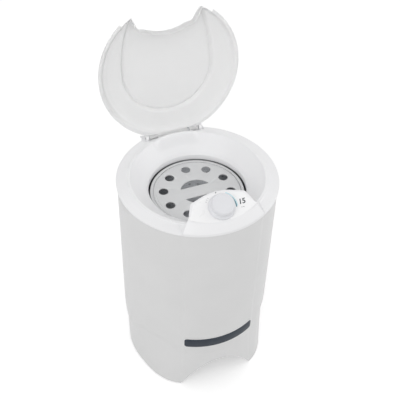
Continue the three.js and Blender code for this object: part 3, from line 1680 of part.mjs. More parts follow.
const lid = addGroup(cabinet);
lid.position.set(0, hingeY, rimHeight + hingeRise);
lid.rotation.x = -openAngle * degree;
addPiece(lid, 'lid_shell', lidShell(), frostedPlastic);
addPiece(lid, 'hinge_shaft', hingeShaft(), plainSteel);
addPiece(lid, 'brake_crank', brakeCrank(), plainSteel);

// The frame's origin lies on the floor, under the middle of the whole part with its lid open
const span = new THREE.Box3().setFromObject(spinDryer, true);
spinDryer.position.y = -(span.min.y + span.max.y) / 2;

export default spinDryer;
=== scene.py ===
import json
import math
import time
import bpy
from mathutils import Matrix, Vector


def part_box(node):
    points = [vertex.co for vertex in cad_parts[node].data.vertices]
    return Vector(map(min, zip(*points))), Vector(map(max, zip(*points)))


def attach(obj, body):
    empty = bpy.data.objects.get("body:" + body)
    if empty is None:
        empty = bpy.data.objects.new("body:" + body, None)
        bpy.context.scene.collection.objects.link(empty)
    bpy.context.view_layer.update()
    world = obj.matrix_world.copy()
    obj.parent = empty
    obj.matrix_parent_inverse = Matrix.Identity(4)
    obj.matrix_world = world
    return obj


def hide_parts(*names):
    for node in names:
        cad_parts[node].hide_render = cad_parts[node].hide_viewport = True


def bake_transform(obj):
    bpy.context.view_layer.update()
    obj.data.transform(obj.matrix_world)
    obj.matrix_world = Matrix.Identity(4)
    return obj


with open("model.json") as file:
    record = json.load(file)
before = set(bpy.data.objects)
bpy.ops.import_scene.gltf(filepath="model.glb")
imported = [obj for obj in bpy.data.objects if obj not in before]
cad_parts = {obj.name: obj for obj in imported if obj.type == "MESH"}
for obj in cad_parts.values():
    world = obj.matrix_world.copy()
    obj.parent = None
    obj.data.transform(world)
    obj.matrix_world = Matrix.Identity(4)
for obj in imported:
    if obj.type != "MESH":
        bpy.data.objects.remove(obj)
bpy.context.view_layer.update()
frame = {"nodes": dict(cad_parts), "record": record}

# metres, +Z up, floor at z = 0, front at -Y; the drum's axis stands at y = axisY
tubLow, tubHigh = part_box("outer_tub")
axisY = (tubLow.y + tubHigh.y) / 2
axisPoint = Vector((0, axisY, 0))
origin = Vector((0, 0, 0))
upwards = Vector((0, 0, 1))
# lengths in the pieces' tables are millimetres, those of camera and studio are metres
# small heights of collar, console and lid start at the rim
mm = 0.001
rim = 600
roundShare = 0.48  # share of an edge that one rounding may take
started = time.time()


def report(*words):
    print(*words, f"after {time.time() - started:.0f} s", flush=True)


report("frame loaded, drum axis at y =", round(axisY, 5))


# small tools for working in edit mode
def deselectAll():
    if bpy.context.object and bpy.context.object.mode != "OBJECT":
        bpy.ops.object.mode_set(mode="OBJECT")
    bpy.ops.object.select_all(action="DESELECT")


def activate(piece):
    deselectAll()
    piece.select_set(True)
    bpy.context.view_layer.objects.active = piece


def editAll(piece):
    activate(piece)
    bpy.ops.object.mode_set(mode="EDIT")
    bpy.ops.mesh.select_all(action="SELECT")


def mergeAndTurnOut(distance=1e-6):
    bpy.ops.mesh.select_all(action="SELECT")
    bpy.ops.mesh.remove_doubles(threshold=distance)
    bpy.ops.mesh.normals_make_consistent(inside=False)
    bpy.ops.object.mode_set(mode="OBJECT")


def applyModifier(piece, kind, **settings):
    activate(piece)
    modifier = piece.modifiers.new(kind.title(), kind)
    for name, value in settings.items():
        setattr(modifier, name, value)
    bpy.ops.object.modifier_apply(modifier=modifier.name)


def cutWith(piece, tool, operation="DIFFERENCE"):
    applyModifier(piece, "BOOLEAN", operation=operation, object=tool, solver="MANIFOLD")
    if not len(piece.data.polygons):
        print("empty after", tool.name)
    bpy.data.objects.remove(tool)


def bevelEdges(piece, width, angle=60, segments=2):
    applyModifier(piece, "BEVEL", width=width * mm, segments=segments, limit_method="ANGLE",
                  angle_limit=math.radians(angle), use_clamp_overlap=True)


def copyOf(piece, name):
    twin = piece.copy()
    twin.data = piece.data.copy()
    twin.name = name
    bpy.context.scene.collection.objects.link(twin)
    return twin


def joinAll(pieces, name):
    deselectAll()
    for piece in pieces:
        piece.select_set(True)
    bpy.context.view_layer.objects.active = pieces[0]
    bpy.ops.object.join()
    pieces[0].name = name
    return pieces[0]


# the primitive just added, named and with its place in its mesh
def newPiece(name):
    piece = bpy.context.object
    piece.name = name
    bpy.ops.object.transform_apply(location=True, rotation=True, scale=True)
    return piece


def placeBy(piece, matrix):
    activate(piece)
    piece.matrix_world = matrix
    bpy.ops.object.transform_apply(location=True, rotation=True, scale=True)


# corners are (a, b, radius); each radius becomes an arc, zero keeps the corner sharp
def roundCorners(corners, closed=True, steps=6):
    points = []
    for i, (a, b, radius) in enumerate(corners):
        here = Vector((a, b))
        if radius == 0 or (not closed and i in (0, len(corners) - 1)):
            points.append(here)
            continue
        toBefore = Vector(corners[i - 1][:2]) - here
        toAfter = Vector(corners[(i + 1) % len(corners)][:2]) - here
        half = toBefore.angle(toAfter) / 2
        reach = min(radius / math.tan(half), toBefore.length * roundShare, toAfter.length * roundShare)
        arcRadius = reach * math.tan(half)
        towards = (toBefore.normalized() + toAfter.normalized()).normalized()
        centre = here + towards * arcRadius / math.sin(half)
        start = here + toBefore.normalized() * reach - centre
        end = here + toAfter.normalized() * reach - centre
        for step in range(steps + 1):
            points.append(centre + start.lerp(end, step / steps).normalized() * arcRadius)
    return points


def mirrored(corners):
    return [(-x, y, radius) for x, y, radius in reversed(corners)]


# an edge that bows from one side to the other, farthest out in the middle
def bowedEdge(endX, endY, middleY, steps):
    shares = [step / steps * 2 - 1 for step in range(steps + 1)]
    return [(-endX * share, middleY + (endY - middleY) * share * share, 0) for share in shares]


# a place in metres, from millimetres off the drum's axis
def fromAxis(x, y, z=0.0):
    return Vector((x * mm, axisY + y * mm, z * mm))


def around(radius, angle, height=0.0):
    turn = math.radians(angle)
    return fromAxis(radius * math.sin(turn), -radius * math.cos(turn), height)


# a chain of edges pulled out point by point, left in edit mode
def drawChain(name, points, closed=True):
    deselectAll()
    bpy.ops.mesh.primitive_plane_add(size=0.01, location=(0, 0, 0))
    piece = bpy.context.object
    piece.name = name
    bpy.ops.object.mode_set(mode="EDIT")
    bpy.ops.mesh.select_all(action="SELECT")
    bpy.ops.mesh.merge(type="CENTER")
    bpy.ops.transform.translate(value=points[0])
    path = points + [points[0]] if closed else points
    for before, after in zip(path, path[1:]):
        bpy.ops.mesh.extrude_vertices_move(TRANSFORM_OT_translate={"value": after - before})
    bpy.ops.mesh.select_all(action="SELECT")
    bpy.ops.mesh.remove_doubles(threshold=1e-7)
    bpy.ops.mesh.select_all(action="SELECT")
    return piece


# corners of (radius, height, rounding) turned about the drum's axis, or about another upright line
def turnCorners(name, corners, segments, closed=True, lift=0.0, centre=axisPoint, steps=6):
    rounded = roundCorners(corners, closed, steps)
    points = [centre + Vector((p.x * mm, 0, (p.y + lift) * mm)) for p in rounded]
    piece = drawChain(name, points, closed)
    bpy.ops.mesh.spin(steps=segments, angle=math.tau, center=centre, axis=upwards)
    mergeAndTurnOut(distance=2e-6)
    return piece


# a flat outline filled and pulled along a direction
def pullOutline(name, points, direction):
    piece = drawChain(name, points)
    bpy.ops.mesh.edge_face_add()
    pull = Vector([length * mm for length in direction])
    bpy.ops.mesh.extrude_region_move(TRANSFORM_OT_translate={"value": pull})
    mergeAndTurnOut()
    return piece


def addDisc(name, radius, low, high, place=axisPoint, segments=48):
    deselectAll()
    bpy.ops.mesh.primitive_cylinder_add(vertices=segments, radius=radius * mm, depth=(high - low) * mm,
                                        location=(place.x, place.y, (low + high) / 2 * mm))
    return newPiece(name)


# side -1 gives the box's mirror image
def addBox(name, left, right, front, back, bottom, top, side=1):
    deselectAll()
    ends = sorted((side * left, side * right))
    low, high = Vector((ends[0], front, bottom)) * mm, Vector((ends[1], back, top)) * mm
    bpy.ops.mesh.primitive_cube_add(size=1, location=(low + high) / 2 + axisPoint, scale=high - low)
    return newPiece(name)


def rodAlongX(name, radius, start, end, y, z, segments=48):
    deselectAll()
    bpy.ops.mesh.primitive_cylinder_add(
        vertices=segments, radius=radius * mm, depth=(end - start) * mm, rotation=(0, math.pi / 2, 0),
        location=fromAxis((start + end) / 2, y, z))
    return newPiece(name)


def easedShare(value, first, last):
    t = min(1, max(0, (value - first) / (last - first)))
    return t * t * (3 - 2 * t)


# value read off a table of (place, value) rows
def along(table, place):
    for (start, low, *_), (end, high, *_) in zip(table, table[1:]):
        if start != end and min(start, end) <= place <= max(start, end):
            return low + (high - low) * (place - start) / (end - start)
    return table[0][1] if abs(place - table[0][0]) < abs(place - table[-1][0]) else table[-1][1]


# finishes: each has its own pattern on Object coordinates
def startMaterial(name):
    material = bpy.data.materials.new(name)
    material.use_nodes = True
    tree = material.node_tree
    place = tree.nodes.new("ShaderNodeTexCoord").outputs["Object"]
    return material, tree, tree.nodes["Principled BSDF"], place


def setSockets(node, values):
    for name, value in values.items():
        node.inputs[name].default_value = value


def addNoise(tree, place, scale, detail=3.0):
    noise = tree.nodes.new("ShaderNodeTexNoise")
    setSockets(noise, {"Scale": scale, "Detail": detail})
    tree.links.new(place, noise.inputs["Vector"])
    return noise.outputs["Fac"]


# roughness that follows a noise from one value to another
def addGloss(tree, shader, source, low, high):
    ranged = tree.nodes.new("ShaderNodeMapRange")
    setSockets(ranged, {"From Min": 0.3, "From Max": 0.7, "To Min": low, "To Max": high})
    tree.links.new(source, ranged.inputs["Value"])
    tree.links.new(ranged.outputs["Result"], shader.inputs["Roughness"])


def addBump(tree, shader, source, strength, distance):
    bump = tree.nodes.new("ShaderNodeBump")
    setSockets(bump, {"Strength": strength, "Distance": distance})
    tree.links.new(source, bump.inputs["Height"])
    tree.links.new(bump.outputs["Normal"], shader.inputs["Normal"])


# colour that drifts a little between two tones over the surface
def addTones(tree, shader, source, colour, drift):
    ramp = tree.nodes.new("ShaderNodeValToRGB")
    darker, lighter = ramp.color_ramp.elements
    darker.position, lighter.position = 0.35, 0.65
    darker.color = [c * (1 - drift) for c in colour] + [1]
    lighter.color = [min(1, c * (1 + drift)) for c in colour] + [1]
    tree.links.new(source, ramp.inputs["Fac"])
    tree.links.new(ramp.outputs["Color"], shader.inputs["Base Color"])


# moulded plastic: fine spark-eroded grain, slow drift of tone and gloss
def mouldedPlastic(name, colour, roughness, grain=0.00004, drift=0.012):
    material, tree, shader, place = startMaterial(name)
    addTones(tree, shader, addNoise(tree, place, scale=9), colour, drift)
    addGloss(tree, shader, addNoise(tree, place, scale=60), roughness - 0.04, roughness + 0.04)
    addBump(tree, shader, addNoise(tree, place, scale=1400, detail=2), strength=0.35, distance=grain)
    return material


def frostedPlastic(name, colour):
    material = mouldedPlastic(name, colour, roughness=0.42, grain=0.00006)
    setSockets(material.node_tree.nodes["Principled BSDF"], {"Transmission Weight": 0.45, "IOR": 1.46})
    return material


# sheet or turned metal with fine lines round the axis
def brushedMetal(name, colour, roughness):
    material, tree, shader, place = startMaterial(name)
    stretch = tree.nodes.new("ShaderNodeMapping")
    setSockets(stretch, {"Scale": (0.02, 0.02, 1)})
    tree.links.new(place, stretch.inputs["Vector"])
    lines = addNoise(tree, stretch.outputs["Vector"], scale=900, detail=2)
    addTones(tree, shader, addNoise(tree, place, scale=14), colour, drift=0.05)
    addGloss(tree, shader, lines, roughness - 0.07, roughness + 0.1)
    addBump(tree, shader, lines, strength=0.2, distance=0.00003)
    setSockets(shader, {"Metallic": 1})
    return material


def castMetal(name, colour):
    material, tree, shader, place = startMaterial(name)
    grains = addNoise(tree, place, scale=700, detail=4)
    addTones(tree, shader, addNoise(tree, place, scale=25), colour, drift=0.1)
    addGloss(tree, shader, grains, low=0.42, high=0.62)
    addBump(tree, shader, grains, strength=0.5, distance=0.0001)
    setSockets(shader, {"Metallic": 0.9})
    return material


# sprayed sheet steel: dust in tone and gloss, orange peel in the surface
def paintedSheet(name, colour):
    material, tree, shader, place = startMaterial(name)
    dust = addNoise(tree, place, scale=30, detail=5)
    addTones(tree, shader, dust, colour, drift=0.15)
    addGloss(tree, shader, dust, low=0.38, high=0.6)
    addBump(tree, shader, addNoise(tree, place, scale=260, detail=2), strength=0.3, distance=0.00008)
    return material


def mattRubber(name, colour):
    material, tree, shader, place = startMaterial(name)
    pores = addNoise(tree, place, scale=1100)
    addTones(tree, shader, addNoise(tree, place, scale=40), colour, drift=0.2)
    addGloss(tree, shader, pores, low=0.72, high=0.92)
    addBump(tree, shader, pores, strength=0.5, distance=0.00007)
    return material


def printInk(name, colour):
    material, tree, shader, place = startMaterial(name)
    screen = addNoise(tree, place, scale=2200, detail=1)
    addTones(tree, shader, screen, colour, drift=0.05)
    addGloss(tree, shader, screen, low=0.4, high=0.5)
    return material


finishes = {
    "body_plastic": mouldedPlastic("bodyPlastic", (0.74, 0.74, 0.74), 0.42),
    "white_plastic": mouldedPlastic("whitePlastic", (0.87, 0.87, 0.88), 0.36),
    "badge_plastic": mouldedPlastic("stripPlastic", (0.03, 0.04, 0.055), 0.42),
    "black_plastic": mouldedPlastic("blackPlastic", (0.03, 0.03, 0.032), 0.5, 0.00008, 0.1),
    "painted_steel": paintedSheet("paintedSteel", (0.10, 0.11, 0.12)),
    "cast_metal": castMetal("castMetal", (0.47, 0.48, 0.5)),
    "plain_steel": brushedMetal("plainSteel", (0.52, 0.53, 0.55), 0.34),
    "rubber": mattRubber("blackRubber", (0.035, 0.035, 0.038)),
    "knob_plastic": mouldedPlastic("knobPlastic", (0.77, 0.775, 0.8), 0.33),
    "tub_plastic": mouldedPlastic("tubPlastic", (0.58, 0.60, 0.62), 0.5, 0.00008, 0.03),
    "friction_lining": mattRubber("frictionLining", (0.13, 0.09, 0.06)),
    "stainless": brushedMetal("stainlessSheet", (0.62, 0.63, 0.65), 0.28),
    "grey_plastic": mouldedPlastic("discPlastic", (0.66, 0.665, 0.67), 0.45),
    "frosted_plastic": frostedPlastic("frostedPlastic", (0.96, 0.96, 0.96)),
}
setSockets(finishes["badge_plastic"].node_tree.nodes["Principled BSDF"], {"Specular IOR Level": 0.2})
# face panel: a real printed panel, made whiter than the white plastic partly as painted light on the tilted
# face
facePanelPaintedLight = mouldedPlastic("facePanelPaintedLight", (0.93, 0.93, 0.935), 0.3, 0.00002)
borderPlastic = mouldedPlastic("stripBorder", (0.8, 0.8, 0.8), 0.35)
# pale grey gasket rubber: painted light, so the shaded gap round the disc shows lighter than black rubber
# would
sealPaintedLight = mattRubber("sealPaintedLight", (0.45, 0.45, 0.46))
inks = {
    "darkInk": printInk("darkInk", (0.06, 0.07, 0.08)),
    "tealInk": printInk("tealInk", (0.12, 0.25, 0.3)),
    "blueInk": printInk("blueInk", (0.62, 0.82, 0.88)),
}
print("finishes made:", len(finishes), "for the pieces and", len(inks), "inks")


def finishPiece(piece, body, slotName, material=None, replaced=(), angle=35):
    activate(piece)
    bpy.ops.object.shade_smooth_by_angle(angle=math.radians(angle))
    piece.data.materials.clear()
    piece.data.materials.append(material or finishes[slotName])
    if body:
        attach(piece, body)
    if replaced:
        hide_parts(*replaced)
    report("made", piece.name, len(piece.data.polygons), "faces")


# camera at the photograph's view
viewpoint = {
    "azimuth": -22.417, "elevation": 43.755, "roll": 1.921, "distance": 1.8712,
    "target": (0.008, 0.0, 0.519), "lens": 66.68, "sensor": 36.0,
}


def placeCamera():
    azimuth, elevation, roll = (math.radians(viewpoint[k]) for k in ("azimuth", "elevation", "roll"))
    back = Vector((math.sin(azimuth) * math.cos(elevation),
                   -math.cos(azimuth) * math.cos(elevation), math.sin(elevation)))
    right = Vector((math.cos(azimuth), math.sin(azimuth), 0))
    above = back.cross(right)
    rolledRight = right * math.cos(roll) + above * math.sin(roll)
    rolledAbove = above * math.cos(roll) - right * math.sin(roll)
    deselectAll()
    bpy.ops.object.camera_add()
    camera = bpy.context.object
    camera.name = "camera"
    camera.data.lens = viewpoint["lens"]
    camera.data.sensor_width = viewpoint["sensor"]
    place = Vector(viewpoint["target"]) + axisPoint + back * viewpoint["distance"]
    axes = Matrix((rolledRight, rolledAbove, back)).transposed().to_4x4()
    camera.matrix_world = Matrix.Translation(place) @ axes
    bpy.context.scene.camera = camera


placeCamera()
print("camera placed")


# cabinet shell: one moulding, creased at four places, flared foot with arches
# angles run from the middle of the front or back towards the side
cabinet = {
    "sideRadius": 197, "top": 595.7, "bottom": 2.5, "wall": 3, "wallOver": 20, "segments": 240,
    "creaseAngle": 30, "creaseWidth": 0.7, "panelRaise": 1.2, "creaseDip": 0.9, "dipAngles": (30.1, 42),
    "lineHeights": (140, 170, 105), "riseAngles": (27, 50), "fallAngles": (62, 90),
    "dips": (3, 6), "footRadii": (205.5, 190.5), "legAngles": (36, 75),
    "blend": 34, "plainFrom": 260, "flarePower": 1.5,
    "footRows": 22, "blendRows": 8, "upperRows": (190, 210, 235, 330, 420, 500, 560),
    "footFlange": (179.5, 32, 0.01, 3), "flangeSegments": 144,
    "archHalfWidth": 106, "archHeight": 99, "archPower": 2.1, "archSteps": 72,
    "archBelow": 40, "archReach": 260, "archFlange": 3, "archFlangeRoom": (182, -50, 300),
    "gripDepth": 12, "gripHeight": 27, "gripSlope": 18, "gripHalf": 50, "gripWall": 2.5, "gripOver": (30, 10),
}


def foldedAngle(x, y):
    return math.degrees(math.atan2(abs(x), abs(y)))


def lineHeightAt(angle):
    front, leg, side = cabinet["lineHeights"]
    risen = front + (leg - front) * easedShare(angle, *cabinet["riseAngles"])
    return risen + (side - leg) * easedShare(angle, *cabinet["fallAngles"])


def flareAt(height, angle):
    toSide = easedShare(angle, *cabinet["legAngles"])
    dip = cabinet["dips"][0] + (cabinet["dips"][1] - cabinet["dips"][0]) * toSide
    foot = cabinet["footRadii"][0] + (cabinet["footRadii"][1] - cabinet["footRadii"][0]) * toSide
    line = cabinet["lineHeights"][0]
    if height >= line + cabinet["blend"]:
        return 0
    if height >= line:
        return -dip * (1 - (height - line) / cabinet["blend"]) ** 2
    drop = (line - height) / (line - cabinet["bottom"])
    return -dip + (foot - cabinet["sideRadius"] + dip) * drop ** cabinet["flarePower"]


def raisedHeight(height, angle):
    front, line = cabinet["lineHeights"][0], lineHeightAt(angle)
    bottom, plainFrom = cabinet["bottom"], cabinet["plainFrom"]
    if height <= front:
        return bottom + (height - bottom) / (front - bottom) * (line - bottom)
    if height >= plainFrom:
        return height
    return height + (line - front) * (plainFrom - height) / (plainFrom - front)


# wall corners moved from a plain tube to the flared form; the inset gives the inner face
def shapeWall(piece, inset):
    crease, bottom, top = cabinet["creaseAngle"], cabinet["bottom"], cabinet["top"]
    dipStart, dipEnd = cabinet["dipAngles"]
    for corner in piece.data.vertices:
        x, y, height = corner.co.x, corner.co.y - axisY, corner.co.z / mm
        angle = foldedAngle(x, y)
        raised = cabinet["panelRaise"] * (1 - easedShare(angle, crease, crease + cabinet["creaseWidth"]))
        if angle > dipStart:
            raised -= cabinet["creaseDip"] * (1 - easedShare(angle, crease, dipEnd))
        level = min(max(height, bottom), top)
        radius = (cabinet["sideRadius"] + raised + flareAt(level, angle) - inset) * mm
        scale = radius / math.hypot(x, y)
        lifted = raisedHeight(height, angle) if level == height else height
        corner.co = (x * scale, axisY + y * scale, lifted * mm)


def wallSolid(name, inset, over):
    low, high = (cabinet["bottom"] - over) * mm, (cabinet["top"] + over) * mm
    deselectAll()
    bpy.ops.mesh.primitive_cylinder_add(
        vertices=cabinet["segments"], radius=cabinet["sideRadius"] * mm, depth=high - low,
        location=(0, axisY, (low + high) / 2), rotation=(0, 0, math.pi / cabinet["segments"]))
    piece = newPiece(name)
    front, fall = cabinet["lineHeights"][0], cabinet["bottom"] - cabinet["lineHeights"][0]
    rows = [front + fall * (i / cabinet["footRows"]) for i in range(cabinet["footRows"])]
    rows += [front + cabinet["blend"] * (i + 1) / cabinet["blendRows"] for i in range(cabinet["blendRows"])]
    rows += sorted(cabinet["upperRows"] + (cabinet["plainFrom"],))
    if over:
        rows += [cabinet["bottom"], cabinet["top"]]
    for row in rows:
        editAll(piece)
        bpy.ops.mesh.bisect(plane_co=(0, 0, row * mm), plane_no=upwards)
    bpy.ops.object.mode_set(mode="OBJECT")
    shapeWall(piece, inset)
    return piece


def archBar(name, grow):
    half, height = cabinet["archHalfWidth"] + grow, cabinet["archHeight"] + grow
    steps, below, reach = cabinet["archSteps"], cabinet["archBelow"], cabinet["archReach"]
    outline = [(-half, -below)]
    for step in range(steps + 1):
        share = -math.cos(math.pi * step / steps)
        outline.append((half * share, height * (1 - abs(share) ** cabinet["archPower"])))
    outline.append((half, -below))
    return pullOutline(name, [fromAxis(x, -reach, z) for x, z in outline], (0, 2 * reach, 0))


# the finger scoop's room; grown by the wall it is the pocket round it
def gripBlock(name, side, grow):
    half = cabinet["gripHalf"] + grow
    outwards, above = cabinet["gripOver"]
    back = cabinet["sideRadius"] - cabinet["gripDepth"] - grow
    far = cabinet["sideRadius"] + outwards
    bottom = cabinet["top"] - cabinet["gripHeight"] - grow + cabinet["gripSlope"]
    top = cabinet["top"] + (0 if grow else above)
    slope = cabinet["gripSlope"] * (far - back) / cabinet["gripDepth"]
    corners = [(far, bottom - slope), (back, bottom), (back, top), (far, top)]
    return pullOutline(name, [fromAxis(side * x, -half, z) for x, z in corners], (0, 2 * half, 0))


def makeCabinet():
    shell = wallSolid("cabinetShell", 0, 0)
    outer = copyOf(shell, "outerForm")
    cutWith(shell, wallSolid("innerForm", cabinet["wall"], cabinet["wallOver"]))
    inner, width, lift, thickness = cabinet["footFlange"]
    reach, low, high = inner + width, cabinet["bottom"] + lift, cabinet["bottom"] + thickness
    corners = [(inner, low, 0), (reach, low, 0), (reach, high, 0), (inner, high, 0)]
    ring = turnCorners("footFlange", corners, cabinet["flangeSegments"])
    cutWith(ring, copyOf(outer, "outerCopy"), "INTERSECT")
    cutWith(shell, ring, "UNION")
    flange = archBar("archFlange", cabinet["archFlange"])
    cutWith(flange, copyOf(outer, "outerCopy"), "INTERSECT")
    cutWith(flange, addDisc("flangeRoom", *cabinet["archFlangeRoom"], segments=cabinet["flangeSegments"]))
    cutWith(shell, flange, "UNION")
    cutWith(shell, archBar("archOpening", 0))
    for side in (-1, 1):
        pocket = gripBlock("gripPocket", side, cabinet["gripWall"])
        cutWith(pocket, copyOf(outer, "outerCopy"), "INTERSECT")
        cutWith(shell, pocket, "UNION")
        cutWith(shell, gripBlock("gripScoop", side, 0))
    bpy.data.objects.remove(outer)
    finishPiece(shell, "cabinet", "body_plastic", replaced=["cabinet_shell"], angle=30)


makeCabinet()

# top collar: lip, shoulder, crest bead and funnel, with the hinge housing at the back
# boxes are (left, right, front, back, bottom, top)
collar = {
    "face": [(200, -0.2, 1.4), (191, 1.92, 0), (182, 3.2, 4), (174.4, 5.2, 2.5), (172.6, 6.8, 1.1),
             (165.6, 6.8, 1.6), (160, 1.6, 5), (128, -25.5, 9), (122, -33, 2.5)],
    "throat": [(122, -47.5, 0.6), (124.5, -47.5, 0.6)],
    "under": [(124.5, -33.5, 1), (130.2, -28.4, 8), (161, -1.6, 4), (166, 3, 1), (172, 3, 1), (182, 0.6, 4),
              (189.4, -1, 1), (189.4, -20, 0), (192.4, -20, 0), (192.4, -4, 0), (200, -4, 0.5)],
    "rowRadii": (169.5, 168, 167, 166.3, 164.2, 162.5, 161.2, 157.5, 156, 154, 152, 150, 148, 146, 144, 142,
                 140),
    "rowGap": 0.4, "segments": 240, "underRadius": 260, "underBottom": -30, "underSegments": 180,
    "trough": (-82, 82, 167, 230, 598.5, 640), "pan": (-84.5, 84.5, 164.8, 199, 596, 606.6), "panSink": 0.02,
    "hoodLift": [(139, 0), (143, 1.2), (147, 4.4), (151.5, 10.1), (155, 13.1), (158.5, 13.8), (161, 12.1),
                 (162.5, 10.6), (164.2, 9), (165.6, 6.9), (167, 1.4), (168, 0)],
    "hoodAngles": (15.5, 23.5), "hoodFrom": 130, "hoodWall": 2.2, "hoodUnder": (1.2, 150),
    "ear": (68.5, 76.5), "earRadius": 7, "earFoot": 2, "earSteps": 24,
    "hingeY": 175, "hingeRise": 7, "shaftBore": (3.3, -100, 100),
    "crankSlot": (35.6, 44.4, 164.1, 185.3, 570, 604.3), "plunger": (-40, 2.8, 570, 600),
    "gripRoom": (180, 192.7, -55, 55, 579.7, 596),
    "seam": (99.8, 101.8, -176, -138, 580, 620), "seamDepth": 1.1,
}
hingeHeight = rim + collar["hingeRise"]


# everything below the collar's face, lifted or lowered a little, down to the bottom
def underCollar(name, lift, bottom):
    face, reach = collar["face"], collar["underRadius"]
    corners = face + [(face[-1][0] - lift, bottom, 0), (reach, bottom, 0), (reach, face[0][1], 0)]
    return turnCorners(name, corners, collar["underSegments"], lift=rim + lift)


# rows added to a profile, so that its faces are short enough to be bent afterwards
def withRows(corners, radii):
    rows = list(corners[:1])
    gap = collar["rowGap"]
    for (start, low, _), corner in zip(corners, corners[1:]):
        end, high = corner[:2]
        between = [radius for radius in radii if min(start, end) + gap < radius < max(start, end) - gap]
        for radius in sorted(between, reverse=start > end):
            rows.append((radius, low + (high - low) * (radius - start) / (end - start), 0))
        rows.append(corner)
    return rows


# the funnel swells up at the back to house the hinge
def liftHood(piece):
    depth, innerReach = collar["hoodUnder"]
    for corner in piece.data.vertices:
        x, y, height = corner.co.x / mm, (corner.co.y - axisY) / mm, corner.co.z / mm - rim
        radius = math.hypot(x, y)
        if y < 0 or radius < collar["hoodFrom"]:
            continue
        funnel = along(collar["face"][::-1], radius)
        shift = collar["hoodWall"] if height < funnel - depth and radius > innerReach else 0
        spread = math.degrees(math.atan2(abs(x), y))
        share = 1 - easedShare(spread, *collar["hoodAngles"])
        corner.co.z += along(collar["hoodLift"], radius + shift) * share * mm


def makeEar(side):
    start, end = collar["ear"]
    y, radius, foot = collar["hingeY"], collar["earRadius"], rim - collar["earFoot"]
    outline = [(y + radius, foot), (y - radius, foot)]
    for step in range(collar["earSteps"] + 1):
        turn = math.pi * step / collar["earSteps"]
        outline.append((y - radius * math.cos(turn), hingeHeight + radius * math.sin(turn)))
    points = [fromAxis(side * start, across, height) for across, height in outline]
    ear = pullOutline("hingeEar", points, (side * (end - start), 0, 0))
    bevelEdges(ear, width=0.7, angle=50)
    return ear


def makeCollar():
    corners = withRows(collar["face"] + collar["throat"] + collar["under"], collar["rowRadii"])
    ring = turnCorners("topCollar", corners, collar["segments"], lift=rim)
    liftHood(ring)
    for side in (-1, 1):
        cutWith(ring, addBox("gripRoom", *collar["gripRoom"], side))
    pan = addBox("troughPan", *collar["pan"])
    cutWith(pan, underCollar("underFace", -collar["panSink"], collar["underBottom"]), "INTERSECT")
    cutWith(ring, pan, "UNION")
    cutWith(ring, addBox("trough", *collar["trough"]))
    for side in (-1, 1):
        cutWith(ring, makeEar(side), "UNION")
    cutWith(ring, rodAlongX("shaftBore", *collar["shaftBore"], collar["hingeY"], hingeHeight))
    cutWith(ring, addBox("crankSlot", *collar["crankSlot"]))
    x, radius, low, high = collar["plunger"]
    cutWith(ring, addDisc("plungerHole", radius, low, high, fromAxis(x, collar["hingeY"])))
    for side in (-1, 1):
        seam = addBox("seam", *collar["seam"], side)
        cutWith(seam, underCollar("seamFloor", -collar["seamDepth"], collar["underBottom"]))
        cutWith(ring, seam)
    bevelEdges(ring, width=0.35)
    finishPiece(ring, "cabinet", "white_plastic", replaced=["top_collar"], angle=32)


makeCollar()

# control console over the collar's front: tilted face, bulging front slope
console = {
    "edge": (199.6, 31), "front": (81, 152), "back": (68, 126), "middle": 112, "curveEnd": (50, 121.2),
    "curveSteps": 12, "edgeSteps": 40, "cornerFront": 14, "cornerBack": 8, "backRise": 52, "tilt": 25,
    "slope": (140, 59, 199.6, 2.2, 3), "slopeSteps": 20, "slopeSegments": 240,
    "top": 700, "half": 130, "faceEnds": (-60, -205), "faceBelow": 1, "slopeBelow": 2,
    "footDrop": 38, "hollowDrop": 20, "roomBottom": -80, "wall": 2.5, "gap": 0.25,
    "voxel": 0.95, "smoothings": 14, "smoothFactor": 0.5, "flat": (0.9995, 0.8),
    "panelInset": 5, "panelHeights": (560, 140), "panelFront": (180.5, 500, 700),
    "panelSlab": (150, 0.06, 0.2), "bush": (7.3, -20, 20), "knobY": 150,
}


def faceHeight(y):
    return rim + console["backRise"] + (y + console["middle"]) * math.tan(math.radians(console["tilt"]))


def consolePlan(inset):
    radius, angle = console["edge"][0] - inset, math.radians(console["edge"][1])
    edgeX, edgeY = radius * math.sin(angle) - inset, -radius * math.cos(angle)
    frontX, backX = console["front"][0] - inset, console["back"][0] - inset
    backY, middleY = -console["back"][1] - inset, -console["middle"] - inset
    endX, endY = console["curveEnd"][0], -console["curveEnd"][1] - inset
    right = [(edgeX, edgeY, 0), (frontX, -console["front"][1], console["cornerFront"]),
             (backX, backY, console["cornerBack"])]
    front = []
    spread = math.atan2(edgeX, -edgeY)
    for step in range(1, console["edgeSteps"]):
        turn = -spread + 2 * spread * step / console["edgeSteps"]
        front.append((radius * math.sin(turn), -radius * math.cos(turn), 0))
    curve = bowedEdge(endX, endY, middleY, console["curveSteps"])
    return roundCorners(right + curve + mirrored(right) + front)


